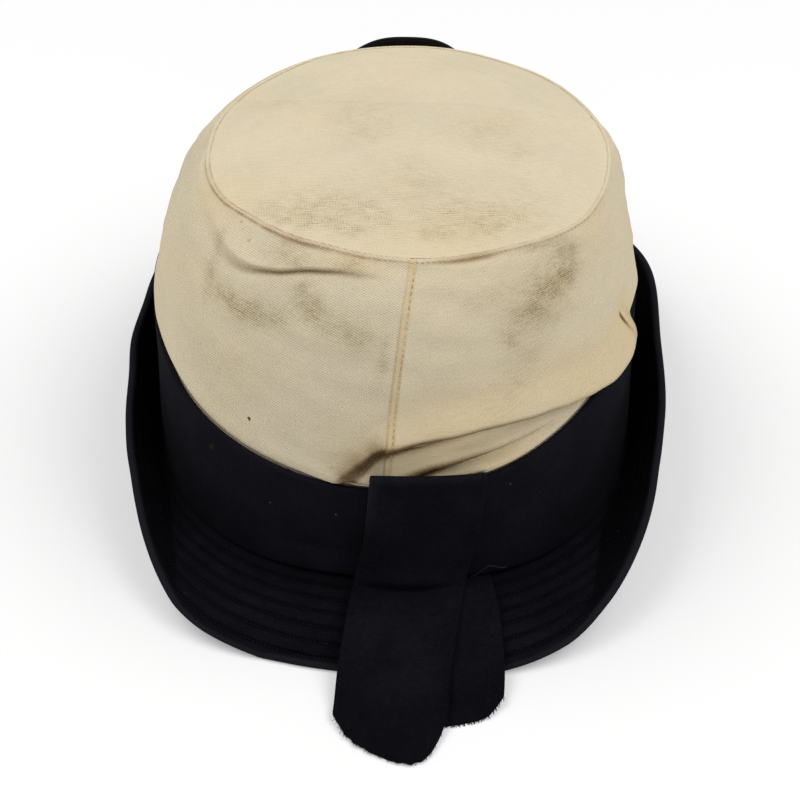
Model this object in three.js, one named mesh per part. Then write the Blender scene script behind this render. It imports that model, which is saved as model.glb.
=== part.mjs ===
// Naval officer hat with a cotton cover over the crown, a ribbed band, a stitched brim turned up at
// both sides and two ribbon tails at the back. Millimetres, Z up, the back of the hat towards -Y.
import * as THREE from "three";

// Cloth thicknesses and the clearance between sewn pieces
const COVER_THICK = 1.2;
const BAND_THICK = 2.0;
const BRIM_THICK = 2.8;
const TAIL_THICK = 1.2;
const PATCH_THICK = 2.0;
const GAP = 0.3;

// Steps round the hat, and one degree in radians
const AROUND = 72;
const DEG = Math.PI / 180;

// Ovals seen from above: half width, half lengths behind and before the middle, squareness, shift of the middle
const JOIN_OVAL = { half: 86.4, back: 97.5, front: 102, square: 2.45, shiftX: 0, shiftY: 0 };
const BAND_OVAL = { half: 85.6, back: 99.8, front: 103, square: 2.18, shiftX: -1.9, shiftY: 0 };
const SEAM_OVAL = { half: 69.7, back: 69.5, front: 77.8, square: 2.03, shiftX: 1.7, shiftY: -1 };

// Heights above the surface that the hat rests on
const JOIN_HEIGHT = 12.8;
const BAND_HEIGHT_BACK = 57.4;
const BAND_HEIGHT_SIDE = 76.1;
const SEAM_HEIGHT = 123.6;
const SEAM_SLOPE = -0.1;
const TOP_DOME = 3.5;

// The cover's wall bends over a control point: its share of the wall's rise, and its setback from the band
const WALL_BEND_RISE = 0.69;
const WALL_SETBACK_BACK = 0.35;
const WALL_SETBACK_SIDE = 3.2;
const TUCK_DEPTH = 0.25;

// Brim sections: reach and rise of the edge from the join, and of the point that the section bends over
const BRIM_SECTIONS = [
  { angle: -166, out: 34.4, up: -9.8, bendOut: 20, bendUp: -1.5 },
  { angle: -150, out: 30.5, up: 2, bendOut: 20, bendUp: -1 },
  { angle: -120, out: 16.5, up: 24.5, bendOut: 14, bendUp: 1 },
  { angle: -95, out: 8.6, up: 33.6, bendOut: 10.5, bendUp: 3.5 },
  { angle: -70, out: 9.8, up: 32.8, bendOut: 11.5, bendUp: 2.5 },
  { angle: -50, out: 18.8, up: 20.8, bendOut: 17, bendUp: 0 },
  { angle: -30, out: 32.8, up: -1.6, bendOut: 20, bendUp: -1 },
  { angle: -12, out: 33.8, up: -11.5, bendOut: 20, bendUp: -1.5 },
  { angle: 12, out: 34.6, up: -11.5, bendOut: 20, bendUp: -1.5 },
  { angle: 30, out: 35, up: -4.4, bendOut: 20, bendUp: -1 },
  { angle: 50, out: 25, up: 17, bendOut: 18, bendUp: 0 },
  { angle: 70, out: 13.6, up: 30.6, bendOut: 13, bendUp: 2 },
  { angle: 95, out: 9.2, up: 33.8, bendOut: 10.5, bendUp: 3.5 },
  { angle: 120, out: 14.6, up: 28, bendOut: 13.5, bendUp: 2 },
  { angle: 150, out: 30.5, up: 4, bendOut: 20, bendUp: -1 },
  { angle: 166, out: 34.4, up: -9.4, bendOut: 20, bendUp: -1.5 },
  { angle: 180, out: 35, up: -11.8, bendOut: 20, bendUp: -1.5 },
];
const BRIM_MARGIN = 3;
const BRIM_SHELF = 2;

// Folds of the cover: where the lip runs on the wall, as a share of its rise, and how far it stands out
const RIGHT_FOLD = [
  { angle: -8, rise: 0.15, lift: 0 },
  { angle: 8, rise: 0.19, lift: 1.2 },
  { angle: 19, rise: 0.22, lift: 2.0 },
  { angle: 32, rise: 0.19, lift: 2.6 },
  { angle: 49, rise: 0.11, lift: 4.2 },
  { angle: 60, rise: 0.09, lift: 5.2 },
  { angle: 70, rise: 0.1, lift: 4.2 },
  { angle: 80, rise: 0.14, lift: 1.6 },
  { angle: 92, rise: 0.18, lift: 0 },
];
const LEFT_FOLD = [
  { angle: -56, rise: 0.78, lift: 0 },
  { angle: -40, rise: 0.82, lift: 1.4 },
  { angle: -26, rise: 0.87, lift: 1.8 },
  { angle: -12, rise: 0.92, lift: 1.2 },
  { angle: 0, rise: 0.94, lift: 0 },
];
const FOLD_ABOVE = 0.14;
const FOLD_BELOW = 0.07;

// The band is pinched in above its lower edge at the back, where the tails are sewn on
const PINCH_DEPTH = 1.4;
const PINCH_RISE = 0.36;
const PINCH_TALL = 0.18;
const PINCH_ANGLE = 26;

// Ribbon tails: the middle's place across, distance behind the join, and height, along each tail
const TAIL_WIDTH = 38;
const FOLD_TILT = 4;
const UPPER_TAIL = [
  { along: 0, across: 16.8, behind: 2.1, height: 46 },
  { along: 0.07, across: 17, behind: 2.2, height: 61.6 },
  { along: 0.095, across: 17, behind: 3.1, height: 63.8 },
  { along: 0.12, across: 17, behind: 4.2, height: 61.6 },
  { along: 0.24, across: 15.4, behind: 4.7, height: 38 },
  { along: 0.34, across: 12.8, behind: 5.1, height: 22 },
  { along: 0.4, across: 11.9, behind: 7.8, height: 17 },
  { along: 0.47, across: 11.3, behind: 16, height: 16.2 },
  { along: 0.58, across: 10.3, behind: 29, height: 12 },
  { along: 0.67, across: 9.7, behind: 38.5, height: 7.4 },
  { along: 0.77, across: 9.7, behind: 50, height: 3.4 },
  { along: 0.86, across: 9.3, behind: 60, height: 1.5 },
  { along: 1, across: 8.8, behind: 75, height: 0.62 },
];
const UPPER_CUT = [
  { across: 0, reach: 0.775 },
  { across: 0.15, reach: 0.858 },
  { across: 0.41, reach: 0.925 },
  { across: 0.67, reach: 0.954 },
  { across: 0.84, reach: 0.93 },
  { across: 0.93, reach: 0.86 },
  { across: 1, reach: 0.77 },
];
const LOWER_TAIL = [
  { along: 0, across: 19.9, behind: 2.3, height: 19 },
  { along: 0.08, across: 20.4, behind: 3.2, height: 15.9 },
  { along: 0.17, across: 21.4, behind: 7, height: 14.7 },
  { along: 0.32, across: 23.6, behind: 16, height: 14.2 },
  { along: 0.52, across: 26, behind: 29, height: 10 },
  { along: 0.68, across: 27.6, behind: 38.5, height: 5.2 },
  { along: 0.85, across: 27.4, behind: 49, height: 0.7 },
  { along: 1, across: 26.4, behind: 59, height: 0.62 },
];
const LOWER_CUT = [
  { across: 0, reach: 0.92 },
  { across: 0.5, reach: 0.92 },
  { across: 0.7, reach: 0.88 },
  { across: 0.88, reach: 0.83 },
  { across: 1, reach: 0.75 },
];

// Plain backing at the front: its half turn, and its foot, peak and sides as shares of the wall's rise
const PATCH_TURN = 17.5 * DEG;
const PATCH_MIDDLE = 3 * DEG;
const PATCH_FOOT = -0.18;
const PATCH_PEAK = 0.89;
const PATCH_ARCH = 0.3;
const PATCH_STRAIGHT = 0.6;
const PATCH_SLACK = 0.4;

const COVER_MATERIAL = new THREE.MeshStandardMaterial({ color: 0xdcd0b6, roughness: 0.9 });
const NAVY_MATERIAL = new THREE.MeshStandardMaterial({ color: 0x14141f, roughness: 0.95 });

const mix = (a, b, t) => a + (b - a) * t;
const bell = (x) => Math.exp(-x * x);

// A smooth reading of one column of a table, between its rows and level beyond its ends
function read(table, key, column, at) {
  const last = table.length - 1;
  if (at <= table[0][key]) return table[0][column];
  if (at >= table[last][key]) return table[last][column];
  let i = 0;
  while (table[i + 1][key] < at) i++;
  const slope = (k) => {
    const low = Math.max(k - 1, 0);
    const high = Math.min(k + 1, last);
    return (table[high][column] - table[low][column]) / (table[high][key] - table[low][key]);
  };
  const span = table[i + 1][key] - table[i][key];
  const t = (at - table[i][key]) / span;
  const h = t * t * (3 - 2 * t);
  const enter = t * (1 - t) * (1 - t) * span * slope(i);
  const leave = t * t * (1 - t) * span * slope(i + 1);
  return mix(table[i][column], table[i + 1][column], h) + enter - leave;
}

// A table by angle that goes all the way round: its ends are carried over so that it closes smoothly
function wrapRound(table) {
  const turned = (rows, turn) => rows.map((row) => ({ ...row, angle: row.angle + turn }));
  return [...turned(table.slice(-2), -360), ...table, ...turned(table.slice(0, 2), 360)];
}
const BRIM_ROUND = wrapRound(BRIM_SECTIONS);

// The way out from the middle at an angle counted from the back towards +X
const outward = (angle) => new THREE.Vector3(Math.sin(angle), -Math.cos(angle), 0);

function ovalPoint(oval, angle, height, offset = 0) {
  const long = Math.cos(angle) > 0 ? oval.back : oval.front;
  const wide = Math.abs(Math.sin(angle) / oval.half) ** oval.square;
  const deep = Math.abs(Math.cos(angle) / long) ** oval.square;
  const radius = (wide + deep) ** (-1 / oval.square) + offset;
  const p = outward(angle).multiplyScalar(radius);
  return p.add(new THREE.Vector3(oval.shiftX, oval.shiftY, height));
}

// Middle of the band's cloth at a share of its rise from the join to its top
function bandPoint(angle, rise, offset = 0) {
  const side = Math.sin(angle) ** 2;
  const low = ovalPoint(JOIN_OVAL, angle, JOIN_HEIGHT, offset);
  const high = ovalPoint(BAND_OVAL, angle, mix(BAND_HEIGHT_BACK, BAND_HEIGHT_SIDE, side), offset);
  const fromBack = Math.atan2(Math.sin(angle), Math.cos(angle)) / (PINCH_ANGLE * DEG);
  const pinch = PINCH_DEPTH * bell(fromBack) * bell((rise - PINCH_RISE) / PINCH_TALL);
  return low.lerp(high, rise).addScaledVector(outward(angle), -pinch);
}

function foldLift(fold, angle, rise) {
  const turn = angle / DEG;
  const lift = read(fold, "angle", "lift", turn);
  const above = rise - read(fold, "angle", "rise", turn);
  return lift * bell(above / (above > 0 ? FOLD_ABOVE : FOLD_BELOW));
}

function seamPoint(angle, offset = 0) {
  const p = ovalPoint(SEAM_OVAL, angle, 0, offset);
  p.z = SEAM_HEIGHT + SEAM_SLOPE * p.y;
  return p;
}

// Outside of the cover's wall: below zero it is tucked inside the band, at one it meets the top seam
function wallPoint(angle, rise) {
  const inside = -BAND_THICK / 2 - GAP;
  if (rise < 0) return bandPoint(angle, 1 + rise, inside);
  const foot = bandPoint(angle, 1, inside);
  const head = seamPoint(angle);
  head.z -= COVER_THICK / 2;
  const side = Math.sin(angle) ** 2;
  const bend = ovalPoint(BAND_OVAL, angle, 0, -mix(WALL_SETBACK_BACK, WALL_SETBACK_SIDE, side));
  bend.z = mix(foot.z, head.z, WALL_BEND_RISE);
  const p = foot.multiplyScalar((1 - rise) ** 2);
  p.addScaledVector(bend, 2 * rise * (1 - rise));
  p.addScaledVector(head, rise * rise);
  const lift = foldLift(RIGHT_FOLD, angle, rise) + foldLift(LEFT_FOLD, angle, rise);
  const free = THREE.MathUtils.smoothstep(rise, 0, 0.08);
  return p.addScaledVector(outward(angle), lift * free);
}

// Middle of the brim's cloth: from the margin under the band, through the join, to the edge
function brimPoint(angle, share) {
  const turn = Math.atan2(Math.sin(angle), Math.cos(angle)) / DEG;
  const height = JOIN_HEIGHT - GAP - BRIM_THICK / 2;
  if (share < 0) return ovalPoint(JOIN_OVAL, angle, height, mix(BRIM_SHELF, -BRIM_MARGIN, -share));
  const get = (column) => read(BRIM_ROUND, "angle", column, turn);
  const bend = 2 * share * (1 - share);
  const shelf = (1 - share) ** 2 * BRIM_SHELF;
  const out = shelf + bend * get("bendOut") + share * share * get("out");
  const up = bend * get("bendUp") + share * share * get("up");
  return ovalPoint(JOIN_OVAL, angle, Math.max(height + up, BRIM_THICK / 2), out);
}

// How far back an oval reaches at a place across
function ovalDepth(oval, x) {
  const across = Math.abs((x - oval.shiftX) / oval.half) ** oval.square;
  return oval.shiftY - oval.back * (1 - across) ** (1 / oval.square);
}

// A ribbon laid along its table: across runs over its width, along over its length up to the cut end
function tailPoint(table, cut, across, along) {
  const reach = along * read(cut, "across", "reach", across);
  const get = (column) => read(table, "along", column, reach);
  const x = get("across") + (across - 0.5) * TAIL_WIDTH;
  const lean = THREE.MathUtils.smoothstep(get("height"), 30, 60);
  const height = get("height") + lean * (0.5 - across) * FOLD_TILT;
  const rise = (height - JOIN_HEIGHT) / (BAND_HEIGHT_BACK - JOIN_HEIGHT);
  const onBand = THREE.MathUtils.clamp(rise, 0, 1);
  const depth = mix(ovalDepth(JOIN_OVAL, x), ovalDepth(BAND_OVAL, x), onBand);
  const flat = THREE.MathUtils.smoothstep(reach, 0.45, 0.9);
  const y = mix(depth, -JOIN_OVAL.back, flat) - get("behind");
  return new THREE.Vector3(x, y, height);
}

// The front backing lies on the band, follows the wall, and stands straight above its bend
function patchPoint(across, rise) {
  const side = 2 * across - 1;
  const angle = Math.PI + PATCH_MIDDLE - side * PATCH_TURN;
  const share = mix(PATCH_FOOT, PATCH_PEAK - PATCH_ARCH * side * side, rise);
  const stand = BAND_THICK + GAP + PATCH_THICK / 2 + PATCH_SLACK;
  if (share < 0) return bandPoint(angle, 1 + share, stand - BAND_THICK / 2);
  const lean = Math.min(share, PATCH_STRAIGHT);
  const p = wallPoint(angle, lean).addScaledVector(outward(angle), stand);
  const step = 1e-3;
  const slope = wallPoint(angle, lean + step).sub(wallPoint(angle, lean - step)).divideScalar(2 * step);
  return p.addScaledVector(slope, share - lean);
}

// A cloth of even thickness about a surface, closed all round. The surface is read at the places in
// the two lists; round pieces join their last place to the first, and a pole closes the first row.
function clothSolid({ places, rows, surface, thick, round = false, pole = false, faceOut = 1, floor = null }) {
  const step = 1e-3;
  const sides = [0.5, -0.5].map((side) =>
    rows.map((row) =>
      places.map((place) => {
        const p = surface(place, row);
        const du = surface(place + step, row).sub(surface(place - step, row));
        const dv = surface(place, row + step).sub(surface(place, row - step));
        const normal = du.cross(dv).normalize().multiplyScalar(faceOut);
        if (pole && row === rows[0]) normal.set(0, 0, 1);
        p.addScaledVector(normal, side * thick);
        if (floor !== null) p.z = Math.max(p.z, floor);
        return p;
      }),
    ),
  );
  const points = [];
  const index = sides.map((grid) =>
    grid.map((line, r) => {
      if (pole && r === 0) {
        points.push(line[0]);
        return line.map(() => points.length - 1);
      }
      return line.map((p) => points.push(p) - 1);
    }),
  );
  const faces = [];
  const quad = (a, b, c, d) => {
    if (a !== b) faces.push(a, b, c);
    if (c !== d) faces.push(a, c, d);
  };
  const turn = faceOut > 0 ? quad : (a, b, c, d) => quad(b, a, d, c);
  const across = round ? places.length : places.length - 1;
  const next = (i) => (i + 1) % places.length;
  const [front, back] = index;
  const end = rows.length - 1;
  for (let r = 0; r < end; r++) {
    for (let i = 0; i < across; i++) {
      const j = next(i);
      turn(front[r][i], front[r][j], front[r + 1][j], front[r + 1][i]);
      turn(back[r][j], back[r][i], back[r + 1][i], back[r + 1][j]);
    }
    if (!round) {
      const k = places.length - 1;
      turn(back[r][0], front[r][0], front[r + 1][0], back[r + 1][0]);
      turn(front[r][k], back[r][k], back[r + 1][k], front[r + 1][k]);
    }
  }
  for (let i = 0; i < across; i++) {
    const j = next(i);
    if (!pole) turn(back[0][i], back[0][j], front[0][j], front[0][i]);
    turn(front[end][i], front[end][j], back[end][j], back[end][i]);
  }
  const geometry = new THREE.BufferGeometry().setFromPoints(points);
  geometry.setIndex(faces);
  geometry.computeVertexNormals();
  return geometry;
}

const evenly = (count, from, to) => Array.from({ length: count + 1 }, (_, i) => mix(from, to, i / count));
const ANGLES = evenly(AROUND, -Math.PI, Math.PI).slice(0, AROUND);

const hat = new THREE.Group();
hat.name = "naval_officer_hat";

function addPiece(name, material, shape) {
  const piece = new THREE.Mesh(clothSolid(shape), material);
  piece.name = name;
  hat.add(piece);
}

addPiece("crown_top", COVER_MATERIAL, {
  places: ANGLES,
  rows: [0, 0.3, 0.55, 0.75, 0.9, 1],
  surface: (angle, share) => {
    const rim = seamPoint(angle, 0.4);
    const middle = new THREE.Vector3(SEAM_OVAL.shiftX, SEAM_OVAL.shiftY, 0);
    const p = middle.lerp(rim, share);
    const dome = TOP_DOME * (1 - share * share);
    p.z = SEAM_HEIGHT + SEAM_SLOPE * p.y + dome + COVER_THICK / 2 + GAP;
    return p;
  },
  thick: COVER_THICK,
  round: true,
  pole: true,
  faceOut: -1,
});

addPiece("crown_side", COVER_MATERIAL, {
  places: ANGLES,
  rows: [-TUCK_DEPTH, 0, 0.04, 0.08, 0.13, 0.19, 0.27, 0.37, 0.5, 0.63, 0.75, 0.84, 0.92, 1],
  surface: (angle, rise) => wallPoint(angle, rise).addScaledVector(outward(angle), -COVER_THICK / 2),
  thick: COVER_THICK,
  round: true,
});

addPiece("hat_band", NAVY_MATERIAL, {
  places: ANGLES,
  rows: [0, 0.2, 0.36, 0.55, 1],
  surface: (angle, rise) => bandPoint(angle, rise),
  thick: BAND_THICK,
  round: true,
});

addPiece("brim", NAVY_MATERIAL, {
  places: ANGLES,
  rows: [-1, 0, 0.14, 0.28, 0.42, 0.56, 0.7, 0.83, 0.92, 1],
  surface: brimPoint,
  thick: BRIM_THICK,
  round: true,
  faceOut: -1,
  floor: 0,
});

addPiece("ribbon_tail_upper", NAVY_MATERIAL, {
  places: evenly(6, 0, 1),
  rows: evenly(30, 0, 1),
  surface: (across, along) => tailPoint(UPPER_TAIL, UPPER_CUT, across, along),
  thick: TAIL_THICK,
  faceOut: -1,
  floor: 0,
});

addPiece("ribbon_tail_lower", NAVY_MATERIAL, {
  places: evenly(6, 0, 1),
  rows: evenly(18, 0, 1),
  surface: (across, along) => tailPoint(LOWER_TAIL, LOWER_CUT, across, along),
  thick: TAIL_THICK,
  faceOut: -1,
  floor: 0,
});

addPiece("front_patch", NAVY_MATERIAL, {
  places: evenly(10, 0, 1),
  rows: evenly(9, 0, 1),
  surface: patchPoint,
  thick: PATCH_THICK,
  faceOut: -1,
});

// The origin is under the middle of the whole hat, on the surface that it rests on
const bounds = new THREE.Box3().setFromObject(hat, true);
const middle = bounds.getCenter(new THREE.Vector3());
hat.position.set(-middle.x, -middle.y, -bounds.min.z);

export default hat;
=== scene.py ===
"""Naval officer hat, seen from behind: cotton crown cover, ribbed band, stitched brim, ribbon tails."""

import bpy
import numpy as np
from mathutils import Matrix


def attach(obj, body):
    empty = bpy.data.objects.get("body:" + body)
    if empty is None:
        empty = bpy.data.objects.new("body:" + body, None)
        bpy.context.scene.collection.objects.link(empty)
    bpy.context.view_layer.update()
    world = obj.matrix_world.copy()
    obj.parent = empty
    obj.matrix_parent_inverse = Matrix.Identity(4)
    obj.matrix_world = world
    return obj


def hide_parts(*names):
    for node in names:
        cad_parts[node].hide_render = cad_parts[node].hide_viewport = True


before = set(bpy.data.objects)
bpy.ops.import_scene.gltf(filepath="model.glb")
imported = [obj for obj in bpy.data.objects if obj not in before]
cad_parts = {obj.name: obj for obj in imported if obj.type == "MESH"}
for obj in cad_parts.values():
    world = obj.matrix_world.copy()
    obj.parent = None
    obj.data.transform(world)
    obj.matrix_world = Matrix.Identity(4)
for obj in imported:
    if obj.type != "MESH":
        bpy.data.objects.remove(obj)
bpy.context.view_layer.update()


# Brim: two layers of navy ribbed wool, held stiff by six rows of stitching that pinch it into soft
# channels. It is sewn under the band, turned up at both sides, and its edge is a rounded fold.
MM = 0.001
HEAD_MIDDLE = np.array([-0.36, 15.30, 0.0])
GAP = 0.3
MM_PER_DEGREE = 1.6
JOIN_OVAL = dict(half=86.4, back=97.5, front=102.0, square=2.45, shift=(0.0, 0.0))
JOIN_HEIGHT = 12.8
BRIM_THICK = 2.8
BRIM_SHELF = 2.0
BRIM_MARGIN = 3.0
BRIM_LENGTH = 36.0
BRIM_WHOLE = BRIM_LENGTH + BRIM_MARGIN + BRIM_SHELF
BRIM_COLUMNS = 440
BRIM_ROWS = 84
BRIM_TURN = 1.0
BRIM_WAVE = dict(high=0.5, long=60.0, over_brim=20)
CHANNEL_ROWS = 2.9 + 5.65 * np.arange(6)
CHANNEL_DEPTH = 0.75
CHANNEL_WIDE = 0.85
CHANNEL_PUCKER = dict(high=0.25, long=9.0, per_degree=1.7, over_brim=30)
# Painted shade: how dark the channels along the rows of stitching are painted, and where the brim's inner
# face is painted darker in the trough beside the band, past the corner where it stands steeply up.
CHANNEL_SHADE = dict(amount=0.75, wide=0.8)
TROUGH_SHADE = dict(dark=0.55, corner=(-0.6, 1.0), edge=(2.4, 4.6), steep=(0.3, 0.55))
# Painted highlight: how far in from the brim's edge its rim is painted paler.
RIM_HIGHLIGHT = dict(inner=2.4, outer=0.6)
BRIM_STITCH = dict(length=0.9, pitch=1.45, thick=0.42)
STITCH_PROUD = 0.1
NAVY = (0.0048, 0.0046, 0.0066, 1.0)
# A paler navy for rubbed nap, also mixed in for the painted highlight on the brim's rim.
NAVY_PALE = (0.0098, 0.0094, 0.0138, 1.0)
NAVY_THREAD = (0.0125, 0.0120, 0.0098, 1.0)
RIB_PERIOD = 1.05
# A darker navy: painted shade in the brim's channels and trough, and the ribbons' darker ends.
NAVY_SHADE_AND_END_DARK = (0.0018, 0.0018, 0.0022, 1.0)
LINT = (0.05, 0.047, 0.043, 1.0)
# A paler navy mixed in at edges: wear on the band and ribbons, and the painted highlight on the brim's
# rim.
NAVY_EDGE = (0.0170, 0.0163, 0.0210, 1.0)


def measures(names, *rows):
    """A table of measures: a column for each name and a row for each tuple."""
    return np.rec.fromarrays(np.array(rows, float).T, names=names)


BRIM_SECTIONS = measures(
    "angle,out,up,corner_out,corner_up",
    (-166, 34.4, -9.8, 26, -3),
    (-150, 30.5, 2, 22, -1.8),
    (-120, 16.5, 24.5, 6.5, 0),
    (-96, 10.4, 33.4, 4.8, 0.6),
    (-82, 11.6, 33.2, 4.6, 0.6),
    (-70, 11.2, 32.4, 3.6, 0.5),
    (-60, 14.4, 27.4, 3.6, 0.2),
    (-54, 17, 23.4, 4.6, 0),
    (-50, 18.8, 20.8, 6, -0.2),
    (-46, 21.4, 16.6, 8.6, -0.5),
    (-42, 24.4, 11.6, 12.4, -0.9),
    (-38, 27.5, 7, 17.5, -1.2),
    (-34, 30.6, 2.6, 23.3, -1.4),
    (-30, 33.4, -1.6, 27, -1.6),
    (-24, 34.4, -6, 25, -2.4),
    (-12, 33.2, -11.5, 20, -3.5),
    (12, 34, -11.5, 20, -3.5),
    (30, 34.6, -4.4, 27, -3),
    (38, 31.4, 3.9, 23.4, -1.8),
    (42, 29.3, 8.2, 16.7, -1.3),
    (46, 26.8, 12.7, 10.9, -0.9),
    (50, 24.2, 17, 6.5, -0.4),
    (54, 21.4, 20.7, 4.6, 0),
    (60, 17.4, 25.4, 3.6, 0.3),
    (70, 13.6, 30.6, 3.4, 0.5),
    (95, 9.2, 33.8, 4.4, 0.6),
    (120, 14.6, 28, 5.6, 0.2),
    (150, 30.5, 4, 22, -1.8),
    (166, 34.4, -9.4, 26, -3),
    (180, 35, -11.8, 20, -3.5),
)


def bell(x):
    """A smooth hump: one at zero, falling to nothing about two widths away."""
    return np.exp(-x * x)


def ease(x, low, high):
    """A smooth step from nought at low to one at high: three t squared less two t cubed."""
    t = np.clip((x - low) / (high - low), 0, 1)
    return t * t * (3 - 2 * t)


def read(table, column, at):
    """A smooth curve through one column of a table, by its first column. Between two rows it is a
    cubic whose slope at each row is that between the rows on either side, and it is level beyond."""
    key = table[table.dtype.names[0]]
    value = table[column]
    row = np.arange(len(key))
    low = np.maximum(row - 1, 0)
    high = np.minimum(row + 1, len(key) - 1)
    slope = (value[high] - value[low]) / (key[high] - key[low])
    at = np.clip(at, key[0], key[-1])
    i = np.clip(np.searchsorted(key, at) - 1, 0, len(key) - 2)
    span = key[i + 1] - key[i]
    t = (at - key[i]) / span
    curve = value[i] + (value[i + 1] - value[i]) * t * t * (3 - 2 * t)
    return curve + span * t * (1 - t) * ((1 - t) * slope[i] - t * slope[i + 1])


def way_out(angle):
    """Level direction away from the middle, at an angle counted from the back towards +X."""
    return np.stack([np.sin(angle), -np.cos(angle), np.zeros_like(angle)], axis=-1)


def from_back(angle):
    """An angle in degrees from the back, between -180 and 180."""
    return np.degrees(np.arctan2(np.sin(angle), np.cos(angle)))


def oval_point(oval, angle, height, offset):
    """Points of an oval: the radius of a super-ellipse whose back and front halves differ, plus an
    offset, laid off along the way out from the oval's middle."""
    deep = np.where(np.cos(angle) > 0, oval["back"], oval["front"])
    power = oval["square"]
    inverse = np.abs(np.sin(angle) / oval["half"]) ** power + np.abs(np.cos(angle) / deep) ** power
    radius = inverse ** (-1 / power) + offset
    x = oval["shift"][0] + radius * np.sin(angle)
    y = oval["shift"][1] - radius * np.cos(angle)
    return np.stack(np.broadcast_arrays(x, y, height), axis=-1)


def ripples(u, v, wave, seed, count=7):
    """Soft random undulation between about -1 and 1: sines of about one wavelength, in directions
    and phases drawn once from a seed, added up."""
    draw = np.random.default_rng(seed)
    turn, phase, stretch = draw.uniform(0, 2 * np.pi, (3, count))
    size = wave * (0.7 + 0.1 * stretch)
    total = 0.0
    for k in range(count):
        along = u * np.cos(turn[k]) + v * np.sin(turn[k])
        total = total + np.sin(along * 2 * np.pi / size[k] + phase[k])
    return total / count ** 0.5


def swell(wave, u, v, seed):
    """Ripples of a wave's own height and length."""
    return wave["high"] * ripples(u, v, wave["long"], seed)


def brim_section(angle):
    """The brim's section at an angle: how far out and up its edge and its corner lie from the join, and
    how long it is from the shelf under the band to the corner, and from there to the edge."""
    turn = from_back(angle)
    ends = BRIM_SECTIONS[-2:].copy()
    starts = BRIM_SECTIONS[:2].copy()
    ends["angle"] -= 360
    starts["angle"] += 360
    around = np.concatenate([ends, BRIM_SECTIONS, starts])
    out, up, corner_out, corner_up = (read(around, k, turn) for k in BRIM_SECTIONS.dtype.names[1:])
    first = np.hypot(corner_out - BRIM_SHELF, corner_up)
    return out, up, corner_out, corner_up, first, np.hypot(out - corner_out, up - corner_up)


def brim_middle(angle, share):
    """Middle of the brim's cloth. A section goes straight out from the shelf under the band to a
    corner, turns it softly, and goes straight on to the edge; how far it is past the corner grows as
    a rounded ramp. Below zero the share runs back over the flat margin under the band."""
    turn = from_back(angle)
    out, up, corner_out, corner_up, first, last = brim_section(angle)
    gone = np.clip(share, 0, None) * (first + last)
    past = BRIM_TURN * np.logaddexp(0, (gone - first) / BRIM_TURN)
    before = (gone - past) / first
    past = past / last
    over = BRIM_SHELF + before * (corner_out - BRIM_SHELF) + past * (out - corner_out)
    over = over + np.minimum(share, 0) * (BRIM_SHELF + BRIM_MARGIN)
    rise = before * corner_up + past * (up - corner_up)
    wave = swell(BRIM_WAVE, turn * MM_PER_DEGREE, BRIM_WAVE["over_brim"] * share, seed=3)
    rise = rise + ease(share, 0.3, 1.0) * wave
    height = JOIN_HEIGHT - GAP - BRIM_THICK / 2
    return oval_point(JOIN_OVAL, angle, np.maximum(height + rise, BRIM_THICK / 2), over)


def unit(vectors):
    """Vectors brought to a length of one."""
    return vectors / np.maximum(np.linalg.norm(vectors, axis=-1, keepdims=True), 1e-9)


def normals_of(grid, wrap, flip=1.0):
    """Unit normals of a grid of points, from the differences between neighbours along its columns
    and rows; with wrap the last column is next to the first."""
    if wrap:
        along = np.roll(grid, -1, axis=1) - np.roll(grid, 1, axis=1)
    else:
        along = np.gradient(grid, axis=1)
    return unit(np.cross(along, np.gradient(grid, axis=0)) * flip)


def rounded(length, radius, count, steps=5):
    """Places over a cloth of a given length, from 0 to 1, closer at the ends, and its thickness there
    as a share: a quarter circle at each end makes the edges round."""
    turn = np.linspace(0, np.pi / 2, steps)
    nose = radius / length * (1 - np.cos(turn))
    inner = np.linspace(nose[-1], 1 - nose[-1], count)[1:-1]
    place = np.concatenate([nose, inner, 1 - nose[::-1]])
    thick = np.concatenate([np.sin(turn), np.ones_like(inner), np.sin(turn)[::-1]])
    return place, thick


def both_faces(middle, normal, half, shared=True):
    """A loop over a cloth: its face, half the thickness out from its middle, and back over its reverse.
    With shared, the first and last rows have no thickness, and the reverse leaves them out."""
    reverse = (middle - normal * half)[::-1]
    return np.concatenate([middle + normal * half, reverse[1:-1] if shared else reverse])


def grid_faces(rows, columns, wrap):
    """Four corners of every face between neighbouring rows and columns, as row and column numbers.
    The rows always join their last to their first; the columns only with wrap."""
    row = np.arange(rows)
    column = np.arange(columns if wrap else columns - 1)
    r, c = np.meshgrid(row, column, indexing="ij")
    return np.stack([r, r, r + 1, r + 1], -1), np.stack([c, c + 1, c + 1, c], -1)


def closed_skin(name, grid, cloth, wrap=True, marks=None):
    """A closed skin from grid[row, column]. Each column is a loop over the cloth's face and back over
    its reverse; the columns go round the hat, or along a ribbon whose end loops are then closed.
    cloth[row, column] is the place on the flat cloth in mm, with one more row, and column if wrapped."""
    rows, columns = grid.shape[:2]
    r, c = grid_faces(rows, columns, wrap)
    faces = ((r % rows) * columns + c % columns).reshape(-1, 4)
    corner = cloth[r, c].reshape(-1, 4, 2)
    if not wrap:
        side = np.arange(rows // 2 - 1)
        cap = np.stack([side, side + 1, rows - 2 - side, rows - 1 - side], -1)
        faces = np.concatenate([faces, cap[:, ::-1] * columns, cap * columns + columns - 1])
        corner = np.concatenate([corner, cloth[cap[:, ::-1], 0], cloth[cap, columns - 1]])
    return cloth_object(name, grid.reshape(-1, 3), [faces], [corner], marks)


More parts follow.
